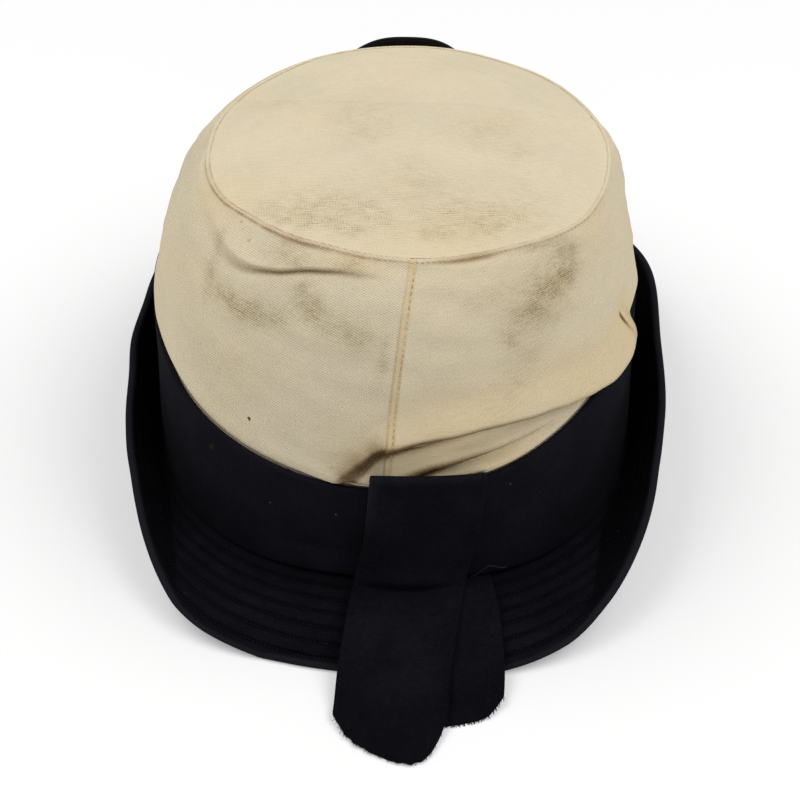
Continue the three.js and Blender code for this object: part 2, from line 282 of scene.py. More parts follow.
def cloth_object(name, points, faces, corners, marks=None):
    """An object from points in hat millimetres, arrays of faces with the place on the cloth of each
    corner, and marks, one number for each point. Faces are turned over if they enclose less than
    nothing, so that they point outwards."""
    volume = 0.0
    for face in faces:
        tip = points[face]
        for k in range(2, tip.shape[1]):
            volume += np.einsum("ij,ij->", tip[:, 0], np.cross(tip[:, k - 1], tip[:, k]))
    if volume < 0:
        faces = [f[:, ::-1] for f in faces]
        corners = [c[:, ::-1] for c in corners]
    mesh = bpy.data.meshes.new(name)
    mesh.from_pydata((points + HEAD_MIDDLE) * MM, [], sum((f.tolist() for f in faces), []))
    place = np.concatenate([c.reshape(-1, 2) for c in corners])
    mesh.uv_layers.new(name="cloth").data.foreach_set("uv", place.astype(np.float32).ravel())
    for mark_name, amount in (marks or {}).items():
        layer = mesh.attributes.new(mark_name, "FLOAT", "POINT")
        value = np.broadcast_to(amount, len(points)).astype(np.float32)
        layer.data.foreach_set("value", value.ravel())
    mesh.polygons.foreach_set("use_smooth", np.ones(len(mesh.polygons), bool))
    made = bpy.data.objects.new(name, mesh)
    bpy.context.scene.collection.objects.link(made)
    return made


def capsules(name, here, axes, size):
    """Short threads, all from one capsule of four sides whose ends sink: each is put at its own place,
    along its own three axes, and made as long, wide and high as its size."""
    turn = np.arange(4) * np.pi / 2
    along = np.array([-0.5, -0.32, 0.32, 0.5])[:, None] + 0 * turn
    girth = np.array([0.35, 1.0, 1.0, 0.35])[:, None] / 2
    sink = np.array([-0.5, 0.0, 0.0, -0.5])[:, None]
    capsule = np.stack([along, girth * np.cos(turn), girth * np.sin(turn) + sink], -1).reshape(1, 16, 3)
    points = here[:, None] + (capsule * size[:, None]) @ axes
    ring, side = np.meshgrid(np.arange(3), np.arange(4), indexing="ij")
    after = (side + 1) % 4
    faces = np.stack([ring * 4 + side, ring * 4 + after, ring * 4 + 4 + after, ring * 4 + 4 + side], -1)
    faces = np.concatenate([faces.reshape(-1, 4), [[0, 3, 2, 1], [12, 13, 14, 15]]])
    faces = (faces[None] + np.arange(len(here))[:, None, None] * 16).reshape(-1, 4)
    return cloth_object(name, points.reshape(-1, 3), [faces], [np.zeros(faces.shape + (2,))])


def along_path(at, gone, values):
    """Values at places along a path, read in straight lines between its points."""
    return np.stack([np.interp(at, gone, values[:, k]) for k in range(3)], -1)


def sewn(name, lines, length, pitch, thick, seed=1):
    """Rows of stitches. Each line is points and normals along a seam; a short thread is set along it
    at every pitch, a touch uneven in place, direction and size."""
    draw = np.random.default_rng(seed)
    places = []
    for path, normal in lines:
        gone = np.concatenate([[0], np.cumsum(np.linalg.norm(np.diff(path, axis=0), axis=1))])
        at = np.arange(pitch / 2, gone[-1] - pitch / 2, pitch)
        at = at + draw.uniform(-0.08, 0.08, len(at)) * pitch
        here = along_path(at, gone, path)
        run = unit(along_path(at + 0.1, gone, path) - here)
        up = along_path(at, gone, normal)
        across = unit(np.cross(up, run) + draw.uniform(-0.1, 0.1, (len(at), 1)) * run)
        places.append(np.stack([here, run, across, np.cross(run, across)], 1))
    places = np.concatenate(places)
    size = np.array([length, thick, thick]) * draw.uniform(0.85, 1.1, (len(places), 3))
    return capsules(name, places[:, 0], places[:, 1:], size)


class Socket:
    """One value in a material. Arithmetic on it adds Math nodes, and node adds any other kind."""

    def __init__(self, tree, socket=None):
        self.tree = tree
        self.socket = socket

    def node(self, kind, settings=(), inputs=(), output=0):
        """A new node of a kind: its settings are set first, then its inputs are linked or filled."""
        made = self.tree.nodes.new(kind)
        for key, value in dict(settings).items():
            setattr(made, key, value)
        for key, value in dict(inputs).items():
            if isinstance(value, Socket):
                self.tree.links.new(value.socket, made.inputs[key])
            else:
                made.inputs[key].default_value = value
        return Socket(self.tree, made.outputs[output] if made.outputs else None)

    def math(self, operation, *values):
        """A Math node on values that are sockets or numbers."""
        return self.node("ShaderNodeMath", {"operation": operation}, dict(enumerate(values)))

    def __add__(self, other):
        return self.math("ADD", self, other)

    def __sub__(self, other):
        return self.math("SUBTRACT", self, other)

    def __rsub__(self, other):
        return self.math("SUBTRACT", other, self)

    def __mul__(self, other):
        return self.math("MULTIPLY", self, other)

    __radd__ = __add__
    __rmul__ = __mul__


def part_of(value, low, high):
    """A smooth step on a socket, from nought at low to one at high."""
    inputs = {"Value": value, "From Min": low, "From Max": high}
    return value.node("ShaderNodeMapRange", {"interpolation_type": "SMOOTHSTEP"}, inputs)


def blended(amount, first, second):
    """Colours mixed by an amount."""
    return amount.node("ShaderNodeMix", {"data_type": "RGBA"}, {0: amount, 6: first, 7: second}, 2)


def grain(start, place, size, detail=2.0, stretch=(1.0, 1.0, 1.0)):
    """Noise about 0.5 whose lumps are about one size, in the units of the place, longer by stretch."""
    scale = [1 / k for k in stretch]
    turned = start.node("ShaderNodeMapping", {}, {"Vector": place, "Scale": scale})
    return start.node("ShaderNodeTexNoise", {}, {"Vector": turned, "Scale": 1 / size, "Detail": detail})


def new_material(name):
    """An empty material, the start of its node tree, and the place on the hat in metres."""
    material = bpy.data.materials.new(name)
    material.use_nodes = True
    material.node_tree.nodes.clear()
    start = Socket(material.node_tree)
    return material, start, start.node("ShaderNodeTexCoord", output=3)


def cloth_place(start):
    """The place on the flat cloth in millimetres."""
    return start.node("ShaderNodeUVMap", {"uv_map": "cloth"})


def mark(start, name):
    """A mark of the mesh: one number for each of its points."""
    return start.node("ShaderNodeAttribute", {"attribute_name": name}, {}, 2)


def cloth_surface(start, colour, height, roughness, sheen, gloss, depth):
    """Cloth: a rough surface with a colour, a height that a bump reads, and constant sheen and gloss."""
    bump = start.node("ShaderNodeBump", {}, {"Height": height, "Distance": depth * MM, "Strength": 1.0})
    inputs = {"Base Color": colour, "Roughness": roughness, "Normal": bump}
    inputs.update({"Specular IOR Level": gloss, "Sheen Weight": sheen, "Sheen Roughness": 0.4})
    cloth = start.node("ShaderNodeBsdfPrincipled", {}, inputs)
    start.node("ShaderNodeOutputMaterial", {}, {"Surface": cloth})


def waves(start, place, lean, period):
    """Even ridges on the cloth: the sine of the distance along one direction."""
    along = start.node("ShaderNodeVectorMath", {"operation": "DOT_PRODUCT"}, {0: place, 1: lean}, 1)
    return start.math("SINE", along * (2 * np.pi / period))


def spotted(start, colour, place, fine, spots):
    """A colour with small ragged spots laid over it, each at a place on the cloth in millimetres."""
    for spot in spots:
        ends = {0: place, 1: spot["place"]}
        away = start.node("ShaderNodeVectorMath", {"operation": "DISTANCE"}, ends, 1)
        edge = away + (fine - 0.5) * (1.6 * spot["size"])
        stain = 1 - part_of(edge, 0.45 * spot["size"], 1.1 * spot["size"])
        colour = blended(stain * spot["strength"], colour, spot["colour"])
    return colour


def navy_cloth(name, rib_lean, rib_show, pale=1.0, spots=()):
    """Ribbed navy wool: fine ridges, fibre fuzz, patches where the nap has rubbed paler, stray lint. One
    mark pales it at an edge: wear on the band's top and on the ribbons, and a painted highlight on the
    brim's rim. Another mixes it towards a darker navy: painted shade in the brim's channels and in the
    trough where it turns up beside the band, and the ribbons darker towards their cut ends."""
    material, start, spot = new_material(name)
    place = cloth_place(start)
    edge = mark(start, "wear_and_highlight")
    shade_and_end_dark = mark(start, "shade_and_end_dark")
    rib = waves(start, place, rib_lean, RIB_PERIOD)
    fuzz = grain(start, spot, 0.55 * MM, 3.0)
    nap = grain(start, spot, 2.2 * MM, 3.0)
    cloud = grain(start, spot, 16 * MM, 3.0)
    wear_and_highlight = part_of(cloud, 0.35, 0.75) * 0.4 + (fuzz - 0.5) * 0.9 + (nap - 0.5) * 0.8
    wear_and_highlight = wear_and_highlight + rib * (0.16 * rib_show) + edge * 0.9 + (0.1 * pale)
    colour = blended(wear_and_highlight.math("MAXIMUM", wear_and_highlight, 0.0), NAVY, NAVY_PALE)
    colour = blended(edge * (0.35 + fuzz * 0.6), colour, NAVY_EDGE)
    colour = blended(shade_and_end_dark, colour, NAVY_SHADE_AND_END_DARK)
    speck = part_of(grain(start, spot, 0.9 * MM, 0.0), 0.86, 0.9)
    colour = blended(speck * 0.6, colour, LINT)
    colour = spotted(start, colour, place, fuzz, spots)
    height = rib * (0.5 * rib_show) + fuzz * 1.1 + nap * 0.8 + cloud * 0.8
    cloth_surface(start, colour, height, roughness=0.95, sheen=0.01, gloss=0.02, depth=0.12)
    return material


def thread(name, colour, soiled):
    """Sewing thread: one colour, dulled in patches along the row."""
    material, start, spot = new_material(name)
    patch = part_of(grain(start, spot, 6 * MM), 0.35, 0.7)
    twist = grain(start, spot, 0.3 * MM)
    colour = blended(patch, colour, soiled)
    cloth_surface(start, colour, twist, roughness=0.9, sheen=0.0, gloss=0.1, depth=0.05)
    return material


def along_loop(grid):
    """Distance run along a loop of rows, averaged over the columns, with the closing step last."""
    step = np.linalg.norm(np.diff(np.concatenate([grid, grid[:1]]), axis=0), axis=-1).mean(axis=1)
    return np.concatenate([[0], np.cumsum(step)])


def brim_half(share, angle):
    """Half the brim's thickness: less at each row of stitching, where the thread draws it in."""
    from_row = (share[..., None] * BRIM_LENGTH - CHANNEL_ROWS) / CHANNEL_WIDE
    around = np.degrees(angle) * CHANNEL_PUCKER["per_degree"]
    pucker = 1 + swell(CHANNEL_PUCKER, around, CHANNEL_PUCKER["over_brim"] * share, seed=5)
    return BRIM_THICK / 2 - CHANNEL_DEPTH * pucker * bell(from_row).sum(axis=-1)


brim_angle = np.linspace(-np.pi, np.pi, BRIM_COLUMNS + 1)[None, :-1]
brim_place, brim_round = rounded(BRIM_WHOLE, BRIM_THICK / 2, BRIM_ROWS)
brim_share = (brim_place * BRIM_WHOLE - BRIM_MARGIN - BRIM_SHELF)[:, None]
brim_share = np.where(brim_share < 0, brim_share / (BRIM_MARGIN + BRIM_SHELF), brim_share / BRIM_LENGTH)
brim_mid = brim_middle(brim_angle, brim_share)
brim_up = normals_of(brim_mid, wrap=True, flip=-1.0)
brim_thick = brim_half(np.broadcast_to(brim_share, brim_mid.shape[:2]), brim_angle) * brim_round[:, None]
brim_grid = both_faces(brim_mid, brim_up, brim_thick[..., None])
brim_grid[..., 2] = np.maximum(brim_grid[..., 2], 0.0)
brim_cloth = np.concatenate([brim_grid, brim_grid[:1]])
brim_cloth = np.concatenate([brim_cloth, brim_cloth[:, :1]], axis=1)[..., :2]
brim_loop = np.concatenate([brim_share, brim_share[-2:0:-1]]) + 0 * brim_angle
# Painted shade: the brim is mixed towards a darker navy along each row of stitching, for the shade in its
# channels.
brim_from_row = (brim_loop[..., None] * BRIM_LENGTH - CHANNEL_ROWS) / CHANNEL_SHADE["wide"]
brim_shade = CHANNEL_SHADE["amount"] * bell(brim_from_row).sum(axis=-1)
# Painted highlight: the brim is paler over the last few millimetres before its edge, for the light that
# its rim catches.
highlight_from, highlight_to = BRIM_LENGTH - RIM_HIGHLIGHT["inner"], BRIM_LENGTH - RIM_HIGHLIGHT["outer"]
brim_highlight = ease(brim_loop * BRIM_LENGTH, highlight_from, highlight_to)
# Painted shade: past the corner, where the brim stands steeply up, its inner face is painted darker for
# the shade in the trough beside the band; the darker of the two paints is kept.
_, edge_up, _, corner_up, corner_run, edge_run = brim_section(brim_angle)
past_corner = (brim_share - corner_run / (corner_run + edge_run)) * BRIM_LENGTH
trough_shade = ease(past_corner, *TROUGH_SHADE["corner"]) * ease((1 - brim_share) * BRIM_LENGTH, *TROUGH_SHADE["edge"])
trough_shade = TROUGH_SHADE["dark"] * trough_shade * ease((edge_up - corner_up) / edge_run, *TROUGH_SHADE["steep"])
brim_shade[: len(brim_share)] = np.maximum(brim_shade[: len(brim_share)], trough_shade)
brim_marks = dict(shade_and_end_dark=brim_shade.ravel(), wear_and_highlight=brim_highlight.ravel())
brim = closed_skin("brim_wool", brim_grid, brim_cloth, marks=brim_marks)
brim.data.materials.append(navy_cloth("brim_wool", rib_lean=(0.0, 1.0, 0.0), rib_show=0.45))
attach(brim, "root")
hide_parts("brim")

row_angle = np.linspace(-np.pi, np.pi, 1200)[None]
row_share = (CHANNEL_ROWS / BRIM_LENGTH)[:, None]
row_near = np.stack([brim_middle(row_angle, row_share + d) for d in (-0.002, 0.0, 0.002)])
row_mid = row_near[1]
row_up = unit(np.cross(np.gradient(row_mid, axis=1), row_near[2] - row_near[0]) * -1)
row_lift = row_up * (BRIM_THICK / 2 - CHANNEL_DEPTH + STITCH_PROUD)
brim_lines = [*zip(row_mid + row_lift, row_up), *zip(row_mid - row_lift, -row_up)]
brim_stitch = sewn("brim_stitching", brim_lines, **BRIM_STITCH)
brim_stitch.data.materials.append(thread("brim_thread", NAVY_THREAD, NAVY_PALE))
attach(brim_stitch, "root")


# Band: a strip of the same ribbed wool, its ribs upright, folded under at both edges and set round the
# foot of the crown. It stands a little off the brim, and is drawn in where the tails are sewn, beside
# which one end of its sewing thread has come loose.
BAND_OVAL = dict(half=85.6, back=99.8, front=103.0, square=2.18, shift=(-1.9, 0.0))
BAND_HEIGHT_BACK = 57.4
BAND_HEIGHT_SIDE = 76.1
BAND_THICK = 2.0
BAND_TALL = 50.0
BAND_ROUND = 93.0
BAND_COLUMNS = 480
BAND_ROWS = 44
BAND_LEFT_FALL = 1.6
BAND_LEFT_HUMP = dict(high=1.0, turn=-18, wide=9)
BAND_WAVE = dict(high=0.25, long=38.0, over_band=45)
BAND_EDGE_WEAR = dict(amount=0.25, share=0.02)
PINCH = dict(depth=1.4, rise=0.36, tall=0.18, turn=26.0)
TUCK = dict(depth=1.1, turn=-9, wide=7, rise=0.25, tall=0.045)
TUCK_BULGE = dict(share=0.5, rise=0.42, tall=0.09)
LOOSE_FOOT = dict(out=0.9, up=1.7, tall=0.13, left=(-30, -8), right=(-42, -20))
BAND_STAIN = (0.05, 0.034, 0.015, 1.0)
BAND_STAIN_STRENGTH = 0.55
BAND_LINT = (0.12, 0.115, 0.11, 1.0)
BAND_LINT_STRENGTH = 0.8
THREAD_GREY = (0.028, 0.027, 0.030, 1.0)
BAND_SPOTS = measures(
    "angle,rise,size,brown",
    (-35.2, 0.8, 1, 1),
    (-34.5, 0.83, 0.7, 1),
    (-7, 0.695, 0.45, 0),
    (27.2, 0.84, 0.4, 0),
    (-20.5, 0.62, 0.35, 0),
)
LOOSE_THREAD = measures(
    "angle,rise,off",
    (18.8, 0.03, 2.2),
    (19.75, 0.05, 2.4),
    (21.25, 0.1, 2.6),
    (22.4, 0.135, 2.8),
    (23.3, 0.125, 3),
    (24.3, 0.1, 3),
    (25.3, 0.075, 2.8),
    (26.2, 0.08, 2.6),
)
LOOSE_STITCH = dict(length=1.0, pitch=0.7, thick=0.34)


def band_point(angle, rise, offset=0.0):
    """Middle of the band's cloth: straight from the brim's oval up to the band's top oval, which is
    higher at the sides, less the dents at the back, plus slow waves. Beside the tails its lower edge
    is lifted off the brim."""
    side = np.sin(angle) ** 2
    turn = from_back(angle)
    top = BAND_HEIGHT_BACK + (BAND_HEIGHT_SIDE - BAND_HEIGHT_BACK) * side
    hump = bell((turn - BAND_LEFT_HUMP["turn"]) / BAND_LEFT_HUMP["wide"])
    top = top - BAND_LEFT_FALL * ease(-np.sin(angle), 0.35, 0.8) + BAND_LEFT_HUMP["high"] * hump
    low = oval_point(JOIN_OVAL, angle, JOIN_HEIGHT, offset)
    high = oval_point(BAND_OVAL, angle, top, offset)
    rise = np.asarray(rise)
    dent = PINCH["depth"] * bell(turn / PINCH["turn"]) * bell((rise - PINCH["rise"]) / PINCH["tall"])
    bulge = TUCK_BULGE["share"] * bell((rise - TUCK_BULGE["rise"]) / TUCK_BULGE["tall"])
    tuck = bell((rise - TUCK["rise"]) / TUCK["tall"]) - bulge
    dent = dent + TUCK["depth"] * bell((turn - TUCK["turn"]) / TUCK["wide"]) * tuck
    wavy = swell(BAND_WAVE, turn * MM_PER_DEGREE, BAND_WAVE["over_band"] * rise, seed=8)
    wavy = wavy * ease(rise, 0.05, 0.3)
    loose = ease(turn, *LOOSE_FOOT["left"]) * ease(-turn, *LOOSE_FOOT["right"])
    loose = loose * bell(rise / LOOSE_FOOT["tall"])
    off = wavy - dent + LOOSE_FOOT["out"] * loose
    point = low + (high - low) * rise[..., None] + way_out(angle) * off[..., None]
    return point + np.array([0, 0, LOOSE_FOOT["up"]]) * loose[..., None]


band_angle = np.linspace(-np.pi, np.pi, BAND_COLUMNS + 1)[None, :-1]
band_rise, band_round = rounded(BAND_TALL, BAND_THICK / 2, BAND_ROWS)
band_mid = band_point(band_angle, band_rise[:, None])
band_out = normals_of(band_mid, wrap=True)
band_grid = both_faces(band_mid, band_out, (band_round * BAND_THICK / 2)[:, None, None])
band_run = along_loop(band_grid)
band_around = np.append(band_angle[0], np.pi) * BAND_ROUND
band_cloth = np.stack(np.meshgrid(band_around, band_run), -1)
band_worn = BAND_EDGE_WEAR["amount"] * bell((band_rise - 1) / BAND_EDGE_WEAR["share"])
band_worn = np.concatenate([band_worn, band_worn[-2:0:-1]])[:, None] + 0 * band_angle
band = closed_skin("ribbed_band", band_grid, band_cloth, marks=dict(wear_and_highlight=band_worn.ravel()))
band_spot_run = np.interp(BAND_SPOTS["rise"], band_rise, band_run[: len(band_rise)])
band_spots = [
    dict(
        place=(np.radians(p["angle"]) * BAND_ROUND, run, 0.0),
        size=p["size"],
        strength=BAND_STAIN_STRENGTH if p["brown"] else BAND_LINT_STRENGTH,
        colour=BAND_STAIN if p["brown"] else BAND_LINT,
    )
    for p, run in zip(BAND_SPOTS, band_spot_run)
]
band_wool = navy_cloth("band_cloth", rib_lean=(1.0, 0.0, 0.0), rib_show=0.5, pale=5.0, spots=band_spots)
band.data.materials.append(band_wool)
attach(band, "root")
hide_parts("hat_band")

loose_angle = np.radians(LOOSE_THREAD["angle"])
loose_up = way_out(loose_angle)
loose_path = band_point(loose_angle, LOOSE_THREAD["rise"]) + loose_up * LOOSE_THREAD["off"][:, None]
loose_thread = sewn("loose_thread", [(loose_path, loose_up)], **LOOSE_STITCH, seed=9)
loose_thread.data.materials.append(thread("loose_thread", THREAD_GREY, NAVY_EDGE))
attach(loose_thread, "root")


# Side of the cover: aged cream cotton twill in one strip, lapped and topstitched down the back, and
# tucked inside the band. It is too long for the crown, so it sags in folds at the back.
COVER_THICK = 1.2
SEAM_OVAL = dict(half=69.7, back=69.5, front=77.8, square=2.03, shift=(1.7, -1.0))
SEAM_HEIGHT = 123.6
SEAM_SLOPE = -0.1
SEAM_SHAPE = measures(
    "angle,out,lift",
    (-180, 3, 1.4),
    (-165, 2.3, 1.4),
    (-150, 1.5, 1.4),
    (-135, -0.5, 1.4),
    (-120, -0.7, 1.4),
    (-100, -0.5, 1.4),
    (-85, -0.5, 1),
    (-70, 0.5, 0.5),
    (-56, 1, 0.5),
    (-43, -0.5, 0.5),
    (-30, -0.5, 0.5),
    (-18, -1, 0.5),
    (-6, 0.3, 0.5),
    (9, 1.1, 0.5),
    (24, -0.1, 0.5),
    (34, -0.2, 0.5),
    (48, 1.3, 0.5),
    (58, 1.5, 0.5),
    (69, 0.3, 0.5),
    (85, -0.4, 1),
    (100, 0, 1.4),
    (125, 0.4, 1.4),
    (145, 1.3, 1.4),
    (158, 1.3, 1.4),
    (172, 2.8, 1.4),
    (180, 3, 1.4),
)
RIM_ROLL = 0.7
RIM_STEP = 0.14
WALL_BEND_RISE = 0.69
WALL_SETBACK_BACK = 0.35
WALL_SETBACK_SIDE = 3.2
WALL_TALL = 75.0
WALL_ROUND = 92.0
WALL_RADIUS = dict(foot=97, loss=28)
TUCK_DEPTH = 0.25
# In the fold tables, dark is how strongly shade, with some dirt, is painted at the lip.
RIGHT_FOLD = measures(
    "angle,rise,lift,droop,under,over,dark",
    (-14, 0, 0, 0, 4, 10, 0),
    (-8, 0, 0.8, 0, 4, 9, 0.1),
    (-5, 0.06, 1.8, 0, 4, 9, 0.25),
    (-2, 0.12, 2.7, 0.2, 3.6, 9, 0.35),
    (1, 0.18, 3.4, 0.6, 3.2, 9, 0.5),
    (4, 0.205, 3.9, 1, 3, 9.5, 0.7),
    (8, 0.226, 4.2, 1.4, 2.9, 10, 0.75),
    (14, 0.249, 4.2, 1.8, 2.7, 10, 0.72),
    (22, 0.269, 4.1, 2.1, 2.4, 10, 0.68),
    (32, 0.234, 4.3, 2.6, 2.2, 10, 0.6),
    (42, 0.171, 4.6, 3.4, 3, 10, 0.42),
    (50, 0.123, 4.8, 4.3, 4, 10, 0.3),
    (57, 0.089, 6, 5.4, 4.4, 8.5, 0.3),
    (63, 0.09, 7.2, 5.8, 4.4, 6.5, 0.3),
    (67.4, 0.1, 6.8, 5.2, 4.4, 4.5, 0.3),
    (69.8, 0.105, 5.8, 4.2, 4, 3, 0.4),
    (70.5, 0.11, 3.2, 1.2, 3, 3.5, 0.4),
    (71.2, 0.11, 2.5, 0, 3, 5.5, 0),
    (76, 0.105, 3, 0, 4, 8, 0),
    (81, 0.1, 2.6, 0, 5, 10, 0),
    (88, 0.1, 0.8, 0, 5, 10, 0),
    (95, 0.1, 0, 0, 5, 10, 0),
)
LOW_FOLD = measures(
    "angle,rise,lift,droop,under,over,dark",
    (1, 0.035, 0, 0, 1.8, 6, 0),
    (9, 0.081, 1.6, 0.6, 1, 4, 0.9),
    (16, 0.109, 2.8, 0.9, 0.9, 4, 0.95),
    (24, 0.13, 2.6, 0.9, 0.9, 4.5, 0.6),
    (32, 0.116, 1.6, 0.7, 1.2, 5, 0.3),
    (39, 0.08, 0.9, 0.4, 1.5, 5, 0.12),
    (46, 0.03, 0, 0, 1.5, 4, 0),
)
LEFT_FOLD = measures(
    "angle,rise,lift,droop,under,over,dark",
    (-58, 0.9, 0, 0, 5, 6, 0),
    (-51, 0.86, 0.7, 0, 4.5, 6.5, 0.1),
    (-46, 0.825, 1.1, 0.1, 4, 7.5, 0.18),
    (-40, 0.808, 1.4, 0.1, 3.4, 8, 0.28),
    (-35, 0.81, 1.6, 0.2, 2.6, 8, 0.38),
    (-28, 0.846, 1.8, 0.3, 1.8, 8, 0.5),
    (-20, 0.9, 1.7, 0.3, 1.6, 7, 0.5),
    (-12, 0.932, 1.2, 0.2, 1.5, 6, 0.42),
    (-5, 0.932, 0.8, 0.1, 1.8, 5, 0.2),
    (2, 0.93, 0, 0, 2, 5, 0),
)
FOOT_SAG = measures(
    "angle,rise,lift,droop,under,over,dark",
    (-100, 0.05, 0, 0, 4, 9, 0),
    (-88, 0.05, 0.2, 0, 4, 9, 0),
    (-78, 0.05, 1.4, 0.2, 4, 9, 0.1),
    (-66, 0.05, 2.2, 0.3, 4, 9, 0.15),
    (-54, 0.05, 1.9, 0.2, 4, 8, 0.1),
    (-42, 0.05, 1.2, 0, 4, 7, 0),
    (-28, 0.04, 0.5, 0, 3.5, 6, 0),
    (-14, 0.04, 1.2, 0, 3.5, 6, 0),
    (-6, 0.036, 2.2, 0, 3.4, 7.5, 0),
    (2, 0.035, 3, 0, 3.4, 9.5, 0),
    (8, 0.035, 3, 0, 3.4, 8, 0),
    (15, 0.035, 2.8, 0, 3.4, 5, 0),
    (24, 0.035, 2.6, 0, 3.4, 5, 0),
    (36, 0.03, 1.7, 0, 3, 5, 0),
    (50, 0.02, 0, 0, 3, 5, 0),
)
FOLDS = (RIGHT_FOLD, LOW_FOLD, LEFT_FOLD, FOOT_SAG)
FOLD_SECTION = measures(
    "above,out,down",
    (-2.2, 0, 0),
    (-1.6, -0.1, 0),
    (-1.25, -0.2, -0.1),
    (-1, -0.16, -0.25),
    (-0.75, 0.12, -0.2),
    (-0.5, 0.46, 0.25),
    (-0.25, 0.76, 0.8),
    (0, 0.93, 1),
    (0.07, 0.99, 0.97),
    (0.16, 0.98, 0.86),
    (0.3, 0.8, 0.64),
    (0.45, 0.52, 0.42),
    (0.6, 0.27, 0.22),
    (0.8, 0.06, 0.05),
    (1, 0, 0),
)
# How far the painted shade at a fold's lip reaches above and beneath it.
FOLD_SHADE = dict(above=(-2.0, -0.1), beneath=(-2.2, 0.0), under=1.2)
PRESSED_LINE = ((-16.4, 0.843), (-24.3, 0.623))
PRESSED = dict(depth=0.3, wide=0.7, fade=(-1.0, 3.0), ridge=0.7, ridge_at=1.3, ridge_wide=0.8)
SLOW_WAVE = dict(high=0.55, long=46.0)
QUICK_WAVE = dict(high=0.16, long=13.0)
SLANT_WAVE = dict(high=0.22, long=11.0, squeeze=0.3, slant=0.12)
SEAM_ANGLE = 2.3
SEAM_LEAN = 2.25
LAP_RISE = 0.6
LAP_STEP = (-0.15, 0.2)
LAP_FADE = (-9.0, -1.0)
LAP_STITCH = 1.9
LAP_ROW_WIDE = 0.5
LAP_ROW_DEPTH = 0.25
LAP_BROWN = dict(edge=0.45, edge_wide=0.35, row=0.18, strip=0.12, top_less=0.6)
LAP_STRIP = dict(start=(-0.1, 0.3), end=(-2.9, -2.1), warm=0.8)
RIM_BROWN = dict(back=0.3, left=0.5, below=0.7, wide=0.6)
RIGHT_WARM = 0.12
LEFT_TWILL = ((0.47, 0.59, 0.65), (-0.47, 0.59, 0.65), 0.70, 1.0)
RIGHT_TWILL = ((0.42, 0.61, 0.67), (-0.42, 0.61, 0.67), 0.64, 0.8)
CREAM = (0.795, 0.698, 0.508, 1.0)
CREAM_GREY = (0.750, 0.660, 0.484, 1.0)
CREAM_WARM = (0.800, 0.650, 0.405, 1.0)
SOIL = (0.25, 0.175, 0.046, 1.0)
# Brown of the painted shade and dirt, and its darkest.
SHADE_AND_DIRT = (0.27, 0.175, 0.082, 1.0)
SHADE_AND_DIRT_DEEP = (0.060, 0.034, 0.014, 1.0)
SEAM_BROWN = (0.310, 0.180, 0.072, 1.0)
RUST = (0.52, 0.29, 0.06, 1.0)
SPECK_BLACK = (0.03, 0.02, 0.015, 1.0)
WALL_SOIL = measures(
    "angle,rise,wide,tall,tilt,strength",
    (-44, 0.63, 3, 8, 25, 0.7),
    (-38.5, 0.615, 5, 4, -20, 0.9),
    (-32.4, 0.605, 6.5, 4, 0, 1),
    (-27, 0.612, 7, 4.5, 10, 0.85),
    (-22, 0.63, 5, 3.5, 0, 0.4),
    (-20, 0.80, 4, 2.5, 40, 0.6),
    (-17, 0.73, 6, 5.5, 0, 0.9),
    (-4.5, 0.66, 6, 4.5, 0, 0.6),
    (-10, 0.69, 8, 5, 0, 0.5),
    (1, 0.56, 2.2, 10, 0, 0.5),
    (-26, 0.91, 12, 2.6, 8, 0.8),
    (-11, 0.955, 9, 2.2, 4, 0.6),
    (-47, 0.82, 2.5, 6, 20, 0.5),
    (-28, 0.975, 9, 2, 0, 0.6),
    (46, 0.79, 7, 10, -20, 0.95),
    (39, 0.73, 10, 8, -35, 1),
    (33, 0.66, 9, 6, -40, 0.85),
    (28, 0.58, 6, 4, -40, 0.7),
    (24, 0.80, 12, 4, 10, 0.35),
    (41, 0.965, 10, 2.2, 0, 0.7),
    (48, 0.90, 5, 4, 0, 0.5),
    (9, 0.06, 8, 2.4, 10, 0.9),
    (3, 0.17, 6, 3, 20, 0.7),
    (-6, 0.10, 6, 3.5, 35, 0.6),
    (30, 0.42, 14, 6, 30, 0.3),
    (-35, 0.30, 18, 8, 0, 0.15),
)
# Painted shade and shadow, with some dirt: the first rows stand for the shade in the dent at the foot of
# the back seam, beneath the right fold's lip, in the crease where the cloth tucks under the band, under
# the top's overhang at the right of the rim and in the gap at the fold's tip; the two last rows are dirt
# at the left of the rim.
WALL_SHADE_AND_DIRT = measures(
    "angle,rise,wide,tall,tilt,strength",
    (1.2, 0.18, 4.2, 4.6, 15, 0.58),
    (-2.2, 0.115, 4, 4.4, 35, 0.55),
    (-4.9, 0.06, 3.2, 3.6, 35, 0.48),
    (8, 0.18, 7, 3, 8, 0.42),
    (15, 0.21, 8, 2.4, 6, 0.2),
    (-2.5, 0.028, 5.5, 0.8, 0, 0.45),
    (16, 0.988, 9, 0.9, 0, 0.5),
    (24, 0.988, 9, 1.2, 0, 0.5),
    (67.8, 0.143, 1.1, 1.5, 0, 1),
    (-24, 0.985, 12, 0.9, 0, 0.45),
    (-36, 0.985, 6, 0.9, 0, 0.3),
)
WALL_WARM = measures(
    "angle,rise,wide,tall,tilt,strength",
    (20, 0.31, 26, 7, 4, 0.75),
    (45, 0.22, 14, 7, -25, 0.75),
    (60, 0.16, 12, 7, -8, 0.7),
    (69, 0.16, 6, 9, 0, 0.7),
    (-55, 0.95, 20, 7, 0, 0.4),
    (60, 0.9, 14, 12, 0, 0.45),
    (26, 0.05, 16, 5, -8, 0.7),
    (12, 0.16, 24, 7, -4, 0.6),
    (-8, 0.96, 16, 3, 0, 0.5),
)
